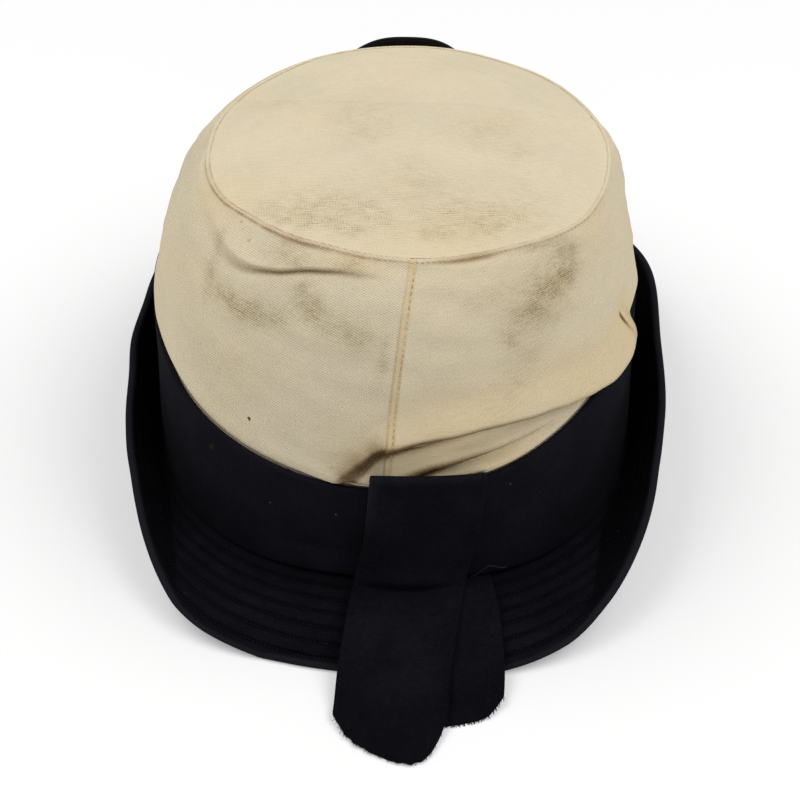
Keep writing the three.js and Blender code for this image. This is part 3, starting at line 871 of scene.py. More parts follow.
COVER_SPOTS = measures(
    "angle,rise,size,dark",
    (-45, 0.955, 0.9, 0),
    (-43, 0.93, 0.55, 0),
    (-39.2, 0.895, 1, 0),
    (-38, 0.985, 0.7, 0.4),
    (-25.5, 0.135, 0.75, 1),
)


def seam_point(angle):
    """Line of the seam round the top: an uneven oval in a plane that rises towards the back."""
    turn = from_back(angle)
    line = oval_point(SEAM_OVAL, angle, 0.0, read(SEAM_SHAPE, "out", turn))
    line[..., 2] = SEAM_HEIGHT + SEAM_SLOPE * line[..., 1] + read(SEAM_SHAPE, "lift", turn)
    return line


def wall_base(angle, rise):
    """Smooth outside of the cover: a bend with one control point from inside the band's top edge to
    the seam. Below zero the rise runs down inside the band."""
    inside = -BAND_THICK / 2 - GAP
    foot = band_point(angle, np.ones_like(angle), inside)
    head = seam_point(angle)
    side = np.sin(angle) ** 2
    setback = WALL_SETBACK_BACK + (WALL_SETBACK_SIDE - WALL_SETBACK_BACK) * side
    bend_height = foot[..., 2] + (head[..., 2] - foot[..., 2]) * WALL_BEND_RISE
    bend = oval_point(BAND_OVAL, angle, bend_height, -setback)
    t = np.clip(rise, 0, 1)[..., None]
    wall = (1 - t) ** 2 * foot + 2 * t * (1 - t) * bend + t * t * head
    tuck = band_point(angle, 1 + np.minimum(rise, 0), inside)
    return np.where(rise[..., None] < 0, tuck, wall)


def fold_height(fold, angle, rise):
    """Height above a fold's lip, as a share of the width that the fold takes above or beneath it."""
    turn = np.degrees(angle)
    above = (rise - read(fold, "rise", turn)) * WALL_TALL
    return above / np.where(above < 0, read(fold, "under", turn), read(fold, "over", turn))


def fold_shift(fold, angle, rise):
    """How far a fold moves the cloth out and down. Its section runs over the height above the lip: it
    comes out slowly from above, over one width, and goes back in sharply beneath, over another."""
    turn = np.degrees(angle)
    above = fold_height(fold, angle, rise)
    out = read(fold, "lift", turn) * read(FOLD_SECTION, "out", above)
    return out, read(fold, "droop", turn) * read(FOLD_SECTION, "down", above)


def fold_shade(fold, angle, rise):
    """Painted shade at a fold's lip, with some dirt: it thickens slowly down to the lip, and ends beneath
    it.
    """
    turn = np.degrees(angle)
    above = (rise - read(fold, "rise", turn)) * WALL_TALL
    under = FOLD_SHADE["under"] * read(fold, "under", turn)
    lip = ease(-above, *FOLD_SHADE["above"]) * ease(above + under, *FOLD_SHADE["beneath"])
    return read(fold, "dark", turn) * lip


def wall_radius(rise):
    """Radius of the wall's back: it falls with the square of the rise."""
    return WALL_RADIUS["foot"] - WALL_RADIUS["loss"] * np.clip(rise, 0, 1) ** 2


def from_seam(angle, rise):
    """Distance round the wall from the edge of the lapped back seam, in millimetres."""
    return np.radians(np.degrees(angle) - SEAM_ANGLE - SEAM_LEAN * rise) * wall_radius(rise)


def pressed_crease(angle, rise):
    """Depth of a crease pressed into the cloth: a narrow groove along a straight line on the wall, with
    a slight ridge beside it."""
    start, stop = (np.array([np.radians(a) * WALL_ROUND, r * WALL_TALL]) for a, r in PRESSED_LINE)
    long = np.linalg.norm(stop - start)
    run = (stop - start) / long
    u = angle * WALL_ROUND - start[0]
    v = rise * WALL_TALL - start[1]
    along = u * run[0] + v * run[1]
    beside = v * run[0] - u * run[1]
    here = ease(along, *PRESSED["fade"]) * ease(long - along, *PRESSED["fade"])
    ridge = PRESSED["ridge"] * bell((beside - PRESSED["ridge_at"]) / PRESSED["ridge_wide"])
    return PRESSED["depth"] * here * (bell(beside / PRESSED["wide"]) - ridge)


def wall_face(angle, rise):
    """Outside of the cover with its folds, the lap of the back seam, soft unevenness and a pressed
    crease. Past one the rise is the turn, in radians, of the small roll that the cloth makes round
    the rim."""
    angle, rise = np.broadcast_arrays(angle, rise)
    roll = np.clip(rise - 1, 0, None)[..., None]
    rise = np.minimum(rise, 1)
    out = 0.0
    down = 0.0
    for fold in FOLDS:
        more_out, more_down = fold_shift(fold, angle, rise)
        out = out + more_out
        down = down + more_down
    past = from_seam(angle, rise)
    lap = LAP_RISE * ease(past, *LAP_STEP) * ease(-past, *LAP_FADE)
    lap = lap - LAP_ROW_DEPTH * bell((past - LAP_STITCH) / LAP_ROW_WIDE)
    free = ease(rise, 0.0, 0.12) * ease(1 - rise, 0.0, 0.06)
    u = np.degrees(angle) * MM_PER_DEGREE
    v = WALL_TALL * rise
    soft = swell(SLOW_WAVE, u, v, seed=11) + swell(QUICK_WAVE, u, v, seed=12)
    soft = soft + swell(SLANT_WAVE, SLANT_WAVE["squeeze"] * u, v + SLANT_WAVE["slant"] * u, seed=13)
    soft = soft - pressed_crease(angle, rise)
    below_rim = ease(1 - rise, 0.0, 0.05)
    moved = (out * below_rim + lap * ease(rise, -0.02, 0.03) + soft * free)[..., None] * way_out(angle)
    moved = moved + np.stack([0 * down, 0 * down, -down * below_rim], -1)
    lean = unit(wall_base(angle, np.ones_like(rise)) - wall_base(angle, np.full_like(rise, 0.97)))
    inward = np.sum(lean * way_out(angle), axis=-1, keepdims=True)
    facing = way_out(angle) * lean[..., 2:] - np.array([0, 0, 1]) * inward
    moved = moved + RIM_ROLL * (np.sin(roll) * lean + (np.cos(roll) - 1) * facing)
    return wall_base(angle, rise) + moved


def soft_patches(table, u, v, table_u, table_v):
    """Soft tilted patches, each a bell across its width and height, added up: soil, painted shade with
    some dirt, and warmth are laid on with them. The patches of the table lie at table_u and table_v."""
    total = 0.0
    for patch, patch_u, patch_v in zip(table, table_u, table_v):
        du = u - patch_u
        dv = v - patch_v
        tilt = np.radians(patch["tilt"])
        across = du * np.cos(tilt) + dv * np.sin(tilt)
        along = dv * np.cos(tilt) - du * np.sin(tilt)
        total = total + patch["strength"] * bell(across / patch["wide"]) * bell(along / patch["tall"])
    return np.clip(total, 0, 1)


def front_as_back(start, spot):
    """The place with its depth counted from the middle of the head, the same in front as behind."""
    depth = start.node("ShaderNodeSeparateXYZ", {}, {0: spot}, 1) - HEAD_MIDDLE[1] * MM
    parts = {k: start.node("ShaderNodeSeparateXYZ", {}, {0: spot}, k) for k in (0, 2)}
    parts[1] = depth.math("ABSOLUTE", depth) * -1
    return start.node("ShaderNodeCombineXYZ", {}, parts)


def cover_cotton(name, twill, spots=(), upright=False, grit=1.0):
    """Aged cotton: threads that cross, slubs, yellowing, soil rubbed onto the ridges, painted shade with
    some dirt in the folds and creases and under the rim's overhang, brown seam lines and a few spots.
    The twill holds, for each panel, its threads' two directions, period and strength; on an upright wall
    the front's threads mirror the back's. The more grit, the more speckled the soil."""
    material, start, spot = new_material(name)
    place = cloth_place(start)
    soil, seam, panel, shade_and_dirt, warm = (mark(start, k) for k in ("soil", "seam", "panel", "shade_and_dirt", "warm"))
    fine = grain(start, spot, 0.6 * MM, 2.0)
    woven = front_as_back(start, spot) if upright else spot
    ridge = [
        (waves(start, woven, warp, period * MM) + waves(start, woven, weft, period * MM) * 0.6) * show
        for warp, weft, period, show in twill
    ]
    weave = (ridge[0] * (1 - panel) + ridge[1] * panel) * (fine * 1.6 + 0.1)
    slub = grain(start, place, 0.9, 2.0, (5.0, 1.0, 1.0))
    cloud = grain(start, spot, 26 * MM, 3.0)
    blotch = grain(start, spot, 5 * MM, 4.0)
    colour = blended(part_of(cloud, 0.3, 0.7), CREAM, CREAM_GREY)
    warmed = part_of(grain(start, spot, 40 * MM, 2.0), 0.5, 0.75) * 0.35 + warm
    colour = blended(warmed.math("MINIMUM", warmed, 1.0), colour, CREAM_WARM)
    shade = (weave * 0.75 + (slub - 0.5) * 1.0 + (fine - 0.5) * 0.8) * 0.195 + 0.09
    colour = blended(shade.math("MAXIMUM", shade, 0.0), colour, SOIL)
    speckle = grain(start, spot, 0.4 * MM, 1.0)
    grainy = (fine - 0.5) * 1.2 + (speckle - 0.5) * 0.8 + (slub - 0.5) * 1.0 + weave * 0.28
    grainy = grainy * grit + 0.68
    patchy = part_of(blotch, 0.25, 0.75) * 0.6 * grit + (0.78 - 0.3 * grit)
    rubbed = soil * patchy * grainy.math("MAXIMUM", grainy, 0.0)
    colour = blended(rubbed.math("MINIMUM", rubbed, 1.0) * 0.85, colour, SOIL)
    # Painted shade and dirt: brown where the mark is weak, near black where it is strong.
    shade_and_dirt = shade_and_dirt * (1 + (fine - 0.5) * 0.6)
    colour = blended(part_of(shade_and_dirt, 0.0, 0.75) * 0.92, colour, SHADE_AND_DIRT)
    colour = blended(part_of(shade_and_dirt, 0.45, 1.1), colour, SHADE_AND_DIRT_DEEP)
    colour = blended(seam * (part_of(blotch, 0.2, 0.65) * 0.85 + 0.2), colour, SEAM_BROWN)
    colour = spotted(start, colour, place, fine, spots)
    height = weave * 0.3 + slub * 0.8 + fine * 0.7 + blotch * 1.2
    cloth_surface(start, colour, height, roughness=0.92, sheen=0.0, gloss=0.12, depth=0.1)
    return material


wall_turn = np.concatenate(
    [np.arange(-92, -1, 0.5), np.arange(-1, 8, 0.12), np.arange(8, 92, 0.5), np.arange(92, 268, 1.6)]
)
wall_angle = np.radians(np.sort(np.where(wall_turn > 180, wall_turn - 360, wall_turn)))[None]
wall_rise = np.concatenate(
    [
        np.linspace(-TUCK_DEPTH, -0.05, 4),
        np.linspace(-0.04, 0.34, 76),
        np.linspace(0.355, 0.73, 26),
        np.linspace(0.74, 1.0, 42),
        1 + np.linspace(0.22, 2.2, 10),
    ]
)[:, None]
wall_outer = wall_face(wall_angle, wall_rise)
inner_rise = np.linspace(1.0, -TUCK_DEPTH, 20)[:, None] + 0 * wall_angle
wall_inner = wall_base(wall_angle + 0 * inner_rise, inner_rise) - way_out(wall_angle) * COVER_THICK
wall_grid = np.concatenate([wall_outer, wall_inner])
wall_run = np.concatenate([np.minimum(wall_rise[:, 0], 1), inner_rise[:, 0], wall_rise[:1, 0]])
wall_run = wall_run * WALL_TALL
wall_around = np.append(wall_angle[0], wall_angle[0, 0] + 2 * np.pi) * WALL_ROUND
wall_cloth = np.stack(np.meshgrid(wall_around, wall_run), -1)
wall_u = np.broadcast_to(wall_angle * WALL_ROUND, wall_grid.shape[:2])
wall_v = np.broadcast_to(wall_run[:-1, None], wall_grid.shape[:2])
wall_past = from_seam(wall_u / WALL_ROUND, wall_v / WALL_TALL)
wall_soil, wall_shade_and_dirt, wall_warm = (
    soft_patches(k, wall_u, wall_v, np.radians(k["angle"]) * WALL_ROUND, k["rise"] * WALL_TALL)
    for k in (WALL_SOIL, WALL_SHADE_AND_DIRT, WALL_WARM)
)
# Painted shade, with some dirt, along each fold's lip.
for fold in FOLDS:
    wall_shade_and_dirt = wall_shade_and_dirt + fold_shade(fold, wall_u / WALL_ROUND, wall_v / WALL_TALL)
wall_panel = ease(wall_past, -0.1, 0.1)
wall_strip = ease(wall_past, *LAP_STRIP["start"]) * ease(-wall_past, *LAP_STRIP["end"])
wall_seam = LAP_BROWN["edge"] * bell(wall_past / LAP_BROWN["edge_wide"])
wall_seam = wall_seam + LAP_BROWN["row"] * bell((wall_past - LAP_STITCH) / LAP_ROW_WIDE)
wall_seam = wall_seam + LAP_BROWN["strip"] * wall_strip
wall_seam = wall_seam * (1 - LAP_BROWN["top_less"] * ease(wall_v, 0.5 * WALL_TALL, 0.9 * WALL_TALL))
wall_back = ease(np.cos(wall_u / WALL_ROUND), 0.1, 0.5)
wall_left = ease(-np.sin(wall_u / WALL_ROUND), -0.05, 0.2)
wall_rim = bell((wall_v - WALL_TALL + RIM_BROWN["below"]) / RIM_BROWN["wide"]) * wall_back
wall_seam = wall_seam + (RIM_BROWN["back"] + RIM_BROWN["left"] * wall_left) * wall_rim
wall_marks = dict(
    soil=wall_soil.ravel(),
    seam=wall_seam.ravel(),
    panel=wall_panel.ravel(),
    shade_and_dirt=np.clip(wall_shade_and_dirt, 0, 1).ravel(),
    warm=(wall_warm + RIGHT_WARM * wall_panel + LAP_STRIP["warm"] * wall_strip).ravel(),
)
wall = closed_skin("cover_side", wall_grid, wall_cloth, marks=wall_marks)
wall_spots = [
    dict(
        place=(np.radians(p["angle"]) * WALL_ROUND, p["rise"] * WALL_TALL, 0.0),
        size=p["size"],
        strength=0.5 + 0.45 * p["dark"],
        colour=SPECK_BLACK if p["dark"] > 0.9 else RUST,
    )
    for p in COVER_SPOTS
]
wall_cotton = cover_cotton("cover_twill", (LEFT_TWILL, RIGHT_TWILL), wall_spots, upright=True)
wall.data.materials.append(wall_cotton)
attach(wall, "root")
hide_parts("crown_side")


# Top of the cover: an oval panel of the same cotton, domed a little, sewn to the side with a turned
# seam that rolls up round the rim, and creased where it lay folded.
TOP_DOME = 5.0
TOP_MIDDLE = np.array([SEAM_OVAL["shift"][0], SEAM_OVAL["shift"][1], 0.0])
TOP_REACH = 72.0
TOP_CREASE = dict(depth=0.4, place=29.5, lean=0.02, wide=1.3, sway=1.2, sway_long=23)
TOP_SLOW_WAVE = dict(high=0.5, long=48.0)
TOP_QUICK_WAVE = dict(high=0.13, long=12.0)
TOP_WRINKLE = dict(high=0.2, long=5.0, squeeze=0.35, back=(15, 40))
TOP_RIM_GAP = 0.1
TOP_RING = dict(depth=0.22, inside=13, wide=1.6)
TOP_SEAM = dict(brown=0.65, back_less=0.4, left_more=0.4, inside=0.9, wide=0.45)
TOP_WARM = 0.22
TOP_SOILED = 0.45
TOP_WEAVE = ((0.0, 1.0, 0.0), (1.0, 0.2, 0.0), 0.85, 0.6)
FAR_INSIDE = 50.0
TOP_SOIL = measures(
    "across,ahead,wide,tall,tilt,strength",
    (-41, -47, 7, 5, -30, 0.6),
    (-31, -49, 10, 8, 0, 0.7),
    (-22, -42, 16, 9, 0, 0.5),
    (-12.5, -51, 6, 8, 0, 0.7),
    (-5, -48, 9, 8, 20, 0.55),
    (-22, -55, 16, 5, -8, 0.55),
    (-16, 14, 13, 15, 20, 0.5),
    (-12, 3, 9, 8, 0, 0.35),
    (4, -20, 9, 10, 0, 0.4),
    (12, -31, 10, 10, 0, 0.4),
    (31, 11, 8, 11, -30, 0.55),
    (38, -3, 7, 6, 0, 0.45),
    (21, 10, 8, 8, 0, 0.35),
    (20, -46, 13, 9, 10, 0.5),
    (34, -43, 13, 8, 10, 0.6),
    (28, -51, 16, 5, 12, 0.5),
    (14, -58, 10, 4, 10, 0.5),
    (42, -30, 14, 14, 0, 0.3),
    (-48, 24, 10, 5, 20, 0.4),
    (0, -40, 45, 18, 0, 0.22),
)


def top_face(angle, place):
    """Outside of the top panel: the rim's oval drawn in towards the middle, a shallow dome over it that
    starts a step below the wall's roll, a ring pressed through from beneath, a crease, soft waves, and
    fine wrinkles towards the back."""
    place = np.asarray(place)
    rim = seam_point(angle)
    flat = TOP_MIDDLE + (rim - way_out(angle) * TOP_RIM_GAP - TOP_MIDDLE) * place[..., None]
    lift = rim[..., 2] - SEAM_HEIGHT - SEAM_SLOPE * rim[..., 1]
    edge = (1 - place) * TOP_REACH
    near = ease(np.cos(angle), 0.25, 0.75)
    ring = TOP_RING["depth"] * bell((edge - TOP_RING["inside"]) / TOP_RING["wide"]) * (1 - near)
    x, y = flat[..., 0], flat[..., 1]
    sway = TOP_CREASE["sway"] * np.sin(x / TOP_CREASE["sway_long"])
    crease_at = TOP_CREASE["place"] + TOP_CREASE["lean"] * x + sway
    crease = TOP_CREASE["depth"] * bell((y - crease_at) / TOP_CREASE["wide"])
    soft = swell(TOP_SLOW_WAVE, x, y, seed=21) + swell(TOP_QUICK_WAVE, x, y, seed=22)
    wrinkle = swell(TOP_WRINKLE, TOP_WRINKLE["squeeze"] * x, y, seed=23)
    wrinkle = wrinkle * ease(-y, *TOP_WRINKLE["back"])
    height = SEAM_HEIGHT + SEAM_SLOPE * y + TOP_DOME * (1 - place**2) + lift * place**2 - RIM_STEP
    height = height - ring - crease + (soft + wrinkle) * ease(edge, 0.5, 6.0)
    return np.stack(np.broadcast_arrays(x, y, height), -1)


top_angle = np.radians(np.arange(0, 360, 1.0))[None]
top_place = np.concatenate([np.linspace(0.02, 0.94, 62), np.linspace(0.943, 0.992, 16)])[:, None]
top_outer = top_face(top_angle, top_place + 0 * top_angle)
rim_turn = np.linspace(0, np.pi, 7)[:, None]
rim_middle = top_outer[-1:] - np.array([0, 0, COVER_THICK / 2])
rim_reach = COVER_THICK / 2 * np.sin(rim_turn)[..., None] * way_out(top_angle)
rim_fall = np.stack([0 * rim_turn, 0 * rim_turn, np.cos(rim_turn) * COVER_THICK / 2], -1)
top_rim = rim_middle + rim_reach + rim_fall
under_place = np.linspace(0.985, 0.02, 12)[:, None] + 0 * top_angle
top_under = top_face(top_angle, under_place) - np.array([0, 0, COVER_THICK])
top_grid = np.concatenate([top_outer, top_rim[1:-1], top_under])
top_rows, top_columns = top_grid.shape[:2]
top_points = np.concatenate([top_grid.reshape(-1, 3), top_face(np.zeros(1), np.zeros(1))])
top_points = np.concatenate([top_points, top_points[-1:] - np.array([0, 0, COVER_THICK])])
top_r, top_c = grid_faces(top_rows - 1, top_columns, wrap=True)
top_quads = (top_r * top_columns + top_c % top_columns).reshape(-1, 4)
top_fan = np.arange(top_columns)
top_next = (top_fan + 1) % top_columns
top_centre = np.stack([0 * top_fan + len(top_points) - 2, top_next, top_fan], -1)
last_row = (top_rows - 1) * top_columns
top_below = np.stack([0 * top_fan + len(top_points) - 1, last_row + top_fan, last_row + top_next], -1)
top_faces = [top_quads, np.concatenate([top_centre, top_below])]
top_corners = [top_points[f][..., :2] for f in top_faces]
top_x, top_y = top_points[:, 0], top_points[:, 1]
top_soil = TOP_SOILED * soft_patches(TOP_SOIL, top_x, top_y, TOP_SOIL["across"], TOP_SOIL["ahead"])
top_edge = np.concatenate(
    [
        np.broadcast_to((1 - top_place) * TOP_REACH, top_outer.shape[:2]).ravel(),
        np.zeros(top_rim[1:-1, ..., 0].size),
        np.full(top_under[..., 0].size + 2, FAR_INSIDE),
    ]
)
top_back = np.append(np.broadcast_to(np.cos(top_angle), (top_rows, top_columns)).ravel(), [0, 0])
top_back = ease(top_back, 0.2, 0.6)
top_left = ease(-top_x, 0, 20) * top_back
top_brown = TOP_SEAM["brown"] - TOP_SEAM["back_less"] * top_back + TOP_SEAM["left_more"] * top_left
top_seam = bell((top_edge - TOP_SEAM["inside"]) / TOP_SEAM["wide"]) * top_brown
top_warm = TOP_WARM * ease(-top_y, 15, 60)
top_marks = dict(soil=top_soil, seam=top_seam, warm=top_warm, panel=0.0, shade_and_dirt=0.0)
top = cloth_object("cover_top", top_points, top_faces, top_corners, top_marks)
top.data.materials.append(cover_cotton("cover_top_cotton", (TOP_WEAVE, TOP_WEAVE), grit=1.4))
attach(top, "root")
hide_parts("crown_top")


# Stitching of the cover: pale thread down the lap of the back seam, and the brown, soiled thread that
# holds the top seam where it shows at the back.
LAP_THREAD = (0.70, 0.60, 0.42, 1.0)
LAP_THREAD_DARK = (0.45, 0.34, 0.19, 1.0)
BROWN_THREAD = (0.50, 0.38, 0.235, 1.0)
BROWN_THREAD_PALE = (0.68, 0.57, 0.39, 1.0)
LAP_ROWS = ((0.03, 0.165), (0.225, 0.985))
LAP_SEWING = dict(length=1.5, pitch=2.2, thick=0.4)
LAP_PROUD = 0.06
RIM_ROW_RISE = 0.994
RIM_ROW_ENDS = (-78, 72)
RIM_PROUD = 0.03
RIM_SEWING = dict(length=1.2, pitch=1.75, thick=0.32)


def wall_line(angle, rise, lift):
    """Points and normals along a line on the cover's wall, raised by a lift."""
    point = wall_face(angle, rise)
    along = wall_face(angle + 1e-3, rise) - wall_face(angle - 1e-3, rise)
    upward = wall_face(angle, rise + 2e-3) - wall_face(angle, rise - 2e-3)
    normal = unit(np.cross(along, upward))
    return point + normal * lift, normal


lap_lines = []
for low, high in LAP_ROWS:
    lap_rise = np.linspace(low, high, 300)
    lap_angle = np.radians(SEAM_ANGLE + SEAM_LEAN * lap_rise)
    lap_angle = lap_angle + LAP_STITCH / wall_radius(lap_rise)
    lap_lines.append(wall_line(lap_angle, lap_rise, LAP_PROUD))
lap_stitch = sewn("lap_stitching", lap_lines, **LAP_SEWING, seed=31)
lap_stitch.data.materials.append(thread("lap_thread", LAP_THREAD, LAP_THREAD_DARK))
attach(lap_stitch, "root")

rim_angle = np.radians(np.linspace(*RIM_ROW_ENDS, 700))
rim_line = wall_line(rim_angle, np.full_like(rim_angle, RIM_ROW_RISE), RIM_PROUD)
rim_stitch = sewn("rim_stitching", [rim_line], **RIM_SEWING, seed=32)
rim_stitch.data.materials.append(thread("rim_thread", BROWN_THREAD, BROWN_THREAD_PALE))
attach(rim_stitch, "root")


# Front patch: a plain arch of dark felt, sewn to the front of the band and standing straight up past the
# curve of the crown, so that only its top edge is seen from behind.
PATCH_TALL = 60.0
PATCH_WIDE = 56.0
PATCH_THICK = 2.0
PATCH_TURN = np.radians(15.6)
PATCH_MIDDLE = np.radians(3.8)
PATCH_FOOT = -0.18
PATCH_PEAK = 0.872
PATCH_ARCH = 0.3
PATCH_ARCH_POWER = 3.2
PATCH_STRAIGHT = 0.6
PATCH_SLACK = 0.4
THINNEST = 0.02
FELT = (0.0075, 0.0080, 0.0080, 1.0)
FELT_PALE = (0.013, 0.013, 0.0125, 1.0)


def patch_middle(across, rise):
    """Middle of the felt: it lies on the band, follows the wall up to where the wall bends over, and
    goes on straight from there, under an arched top edge."""
    side = 2 * across - 1
    angle = np.pi + PATCH_MIDDLE - side * PATCH_TURN
    peak = PATCH_PEAK - PATCH_ARCH * np.abs(side) ** PATCH_ARCH_POWER
    angle, share = np.broadcast_arrays(angle, PATCH_FOOT + (peak - PATCH_FOOT) * rise)
    stand = BAND_THICK + GAP + PATCH_THICK / 2 + PATCH_SLACK
    low = band_point(angle, 1 + np.minimum(share, 0), stand - BAND_THICK / 2)
    lean = np.clip(share, 0, PATCH_STRAIGHT)
    high = wall_base(angle, lean) + way_out(angle) * stand
    slope = (wall_base(angle, lean + 1e-3) - wall_base(angle, np.maximum(lean - 1e-3, 0))) / 2e-3
    high = high + slope * (share - lean)[..., None]
    return np.where((share < 0)[..., None], low, high)


def felt(name):
    """Dark felt: matted fibre, a little paler where it is rubbed."""
    material, start, spot = new_material(name)
    fibre = grain(start, spot, 0.7 * MM, 4.0)
    cloud = grain(start, spot, 9 * MM, 3.0)
    colour = blended(part_of(fibre * 0.6 + cloud * 0.5, 0.4, 0.75), FELT, FELT_PALE)
    height = fibre * 1.4 + cloud
    cloth_surface(start, colour, height, roughness=0.97, sheen=0.04, gloss=0.05, depth=0.2)
    return material


patch_rise, patch_round = rounded(PATCH_TALL, PATCH_THICK / 2, 40)
patch_across, patch_side = rounded(PATCH_WIDE, PATCH_THICK / 2, 44)
patch_mid = patch_middle(patch_across[:, None], patch_rise[None])
patch_normal = normals_of(patch_mid, wrap=False)
patch_half = PATCH_THICK / 2 * patch_side[:, None] * np.sqrt(patch_round)[None]
patch_half = np.maximum(patch_half, THINNEST)
patch_grid = both_faces(patch_mid, patch_normal, patch_half[..., None], shared=False)
patch_run = along_loop(patch_grid)
patch_cloth = np.stack(np.meshgrid(patch_rise * PATCH_TALL, patch_run), -1)
patch = closed_skin("front_patch_felt", patch_grid, patch_cloth, wrap=False)
patch.data.materials.append(felt("patch_felt"))
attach(patch, "root")
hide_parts("front_patch")


# Ribbon tails: two lengths of ribbed navy ribbon with two rows of stitching along each side. The lower
# one comes from under the band and the upper one is folded over its top edge; their cut ends fray.
TAIL_WIDTH = 38.0
TAIL_THICK = 1.2
FOLD_TILT = 2.6
FOLD_BOW = 1.3
FOLD_HEIGHTS = (30, 60)
LOWER_TAIL = measures(
    "along,across,behind,height",
    (0, 19.9, -1.2, 13.4),
    (0.06, 20.3, 1.4, 13.4),
    (0.12, 20.8, 4.2, 13.9),
    (0.18, 21.5, 7.4, 14.6),
    (0.32, 23.6, 16, 14.2),
    (0.52, 26, 29, 10),
    (0.68, 27.6, 38.5, 5.2),
    (0.85, 27.4, 49, 0.7),
    (1, 26.4, 59, 0.62),
)
LOWER_CUT = measures(
    "across,reach",
    (0, 0.91),
    (0.5, 0.905),
    (0.7, 0.875),
    (0.88, 0.83),
    (1, 0.75),
)
UPPER_TAIL = measures(
    "along,across,behind,height",
    (0, 16.8, 2.1, 46),
    (0.07, 17, 2.2, 62.2),
    (0.095, 17, 3.1, 64.4),
    (0.12, 17, 4.2, 62.2),
    (0.24, 15.4, 4.7, 38),
    (0.34, 12.8, 5.1, 22),
    (0.4, 11.9, 7.8, 17),
    (0.47, 11.3, 16, 16.2),
    (0.58, 10.3, 29, 12),
    (0.67, 9.7, 38.5, 7.4),
    (0.77, 9.7, 50, 3.4),
    (0.86, 9.3, 60, 1.5),
    (1, 8.8, 75, 0.62),
)
UPPER_CUT = measures(
    "across,reach",
    (0, 0.79),
    (0.15, 0.862),
    (0.41, 0.92),
    (0.67, 0.944),
    (0.84, 0.926),
    (0.93, 0.868),
    (1, 0.785),
)
UPPER_DENT = 2.2
HOLLOW = dict(reach=0.416, tall=0.027, across=0.46, wide=0.36, inward=0.7)
BULGE = dict(share=0.8, reach=0.365, tall=0.028, across=0.46, wide=0.45, upward=0.3)
RAGGED = dict(high=0.0028, long=2.4)
TAIL_END_DARK = dict(amount=0.35, along=(0.72, 0.92))
FOLD_WEAR = dict(amount=0.45, reach=0.1, tall=0.014)
SIDE_WEAR = dict(wide=0.07, reach=0.15, tall=0.045)
FRAY = dict(long=(0.6, 1.9), thick=(0.14, 0.24), turn=0.55, lift=(-0.15, 0.25), drift=(-0.4, 0.3))
FRAY_FOOT = 0.42
FRAY_LOWEST = 0.35
TAIL_PROUD = 0.05
TAIL_ROWS = (1.3, 5.4)
TAIL_STITCH = dict(length=1.3, pitch=2.2, thick=0.36)


def oval_depth(oval, x):
    """How far back an oval reaches at a place across."""
    inside = 1 - np.abs((x - oval["shift"][0]) / oval["half"]) ** oval["square"]
    return oval["shift"][1] - oval["back"] * inside ** (1 / oval["square"])


def pressed_spot(spot, reach, across):
    """A soft round spot on a ribbon: a bell along it times a bell across it."""
    return bell((reach - spot["reach"]) / spot["tall"]) * bell((across - spot["across"]) / spot["wide"])


def tail_middle(table, cut, across, along, dent=0.0):
    """Middle of a ribbon laid along its table. Near the band its depth follows the band's round back,
    and it flattens out as it comes to the surface; the cut says how far each thread reaches. A dent
    presses it in at the band's foot and bulges it out above."""
    across, along = np.broadcast_arrays(across, along)
    ragged = swell(RAGGED, across * TAIL_WIDTH, 0.0, seed=len(table)) * ease(along, 0.8, 1.0)
    reach = along * (read(cut, "reach", across) + ragged)
    x = read(table, "across", reach) + (across - 0.5) * TAIL_WIDTH
    height = read(table, "height", reach)
    height = height + ease(height, *FOLD_HEIGHTS) * (0.5 - across) * FOLD_TILT
    on_band = np.clip((height - JOIN_HEIGHT) / (BAND_HEIGHT_BACK - JOIN_HEIGHT), 0, 1)
    depth = oval_depth(JOIN_OVAL, x) * (1 - on_band) + oval_depth(BAND_OVAL, x) * on_band
    flat = ease(reach, 0.45, 0.9)
    y = depth * (1 - flat) - JOIN_OVAL["back"] * flat - read(table, "behind", reach)
    height = height + ease(height, *FOLD_HEIGHTS) * FOLD_BOW * (1 - (2 * across - 1) ** 2)
    hollow = dent * pressed_spot(HOLLOW, reach, across)
    bulge = BULGE["share"] * dent * pressed_spot(BULGE, reach, across)
    y = y + HOLLOW["inward"] * hollow - bulge
    return np.stack([x, y, height - hollow + BULGE["upward"] * bulge], -1)


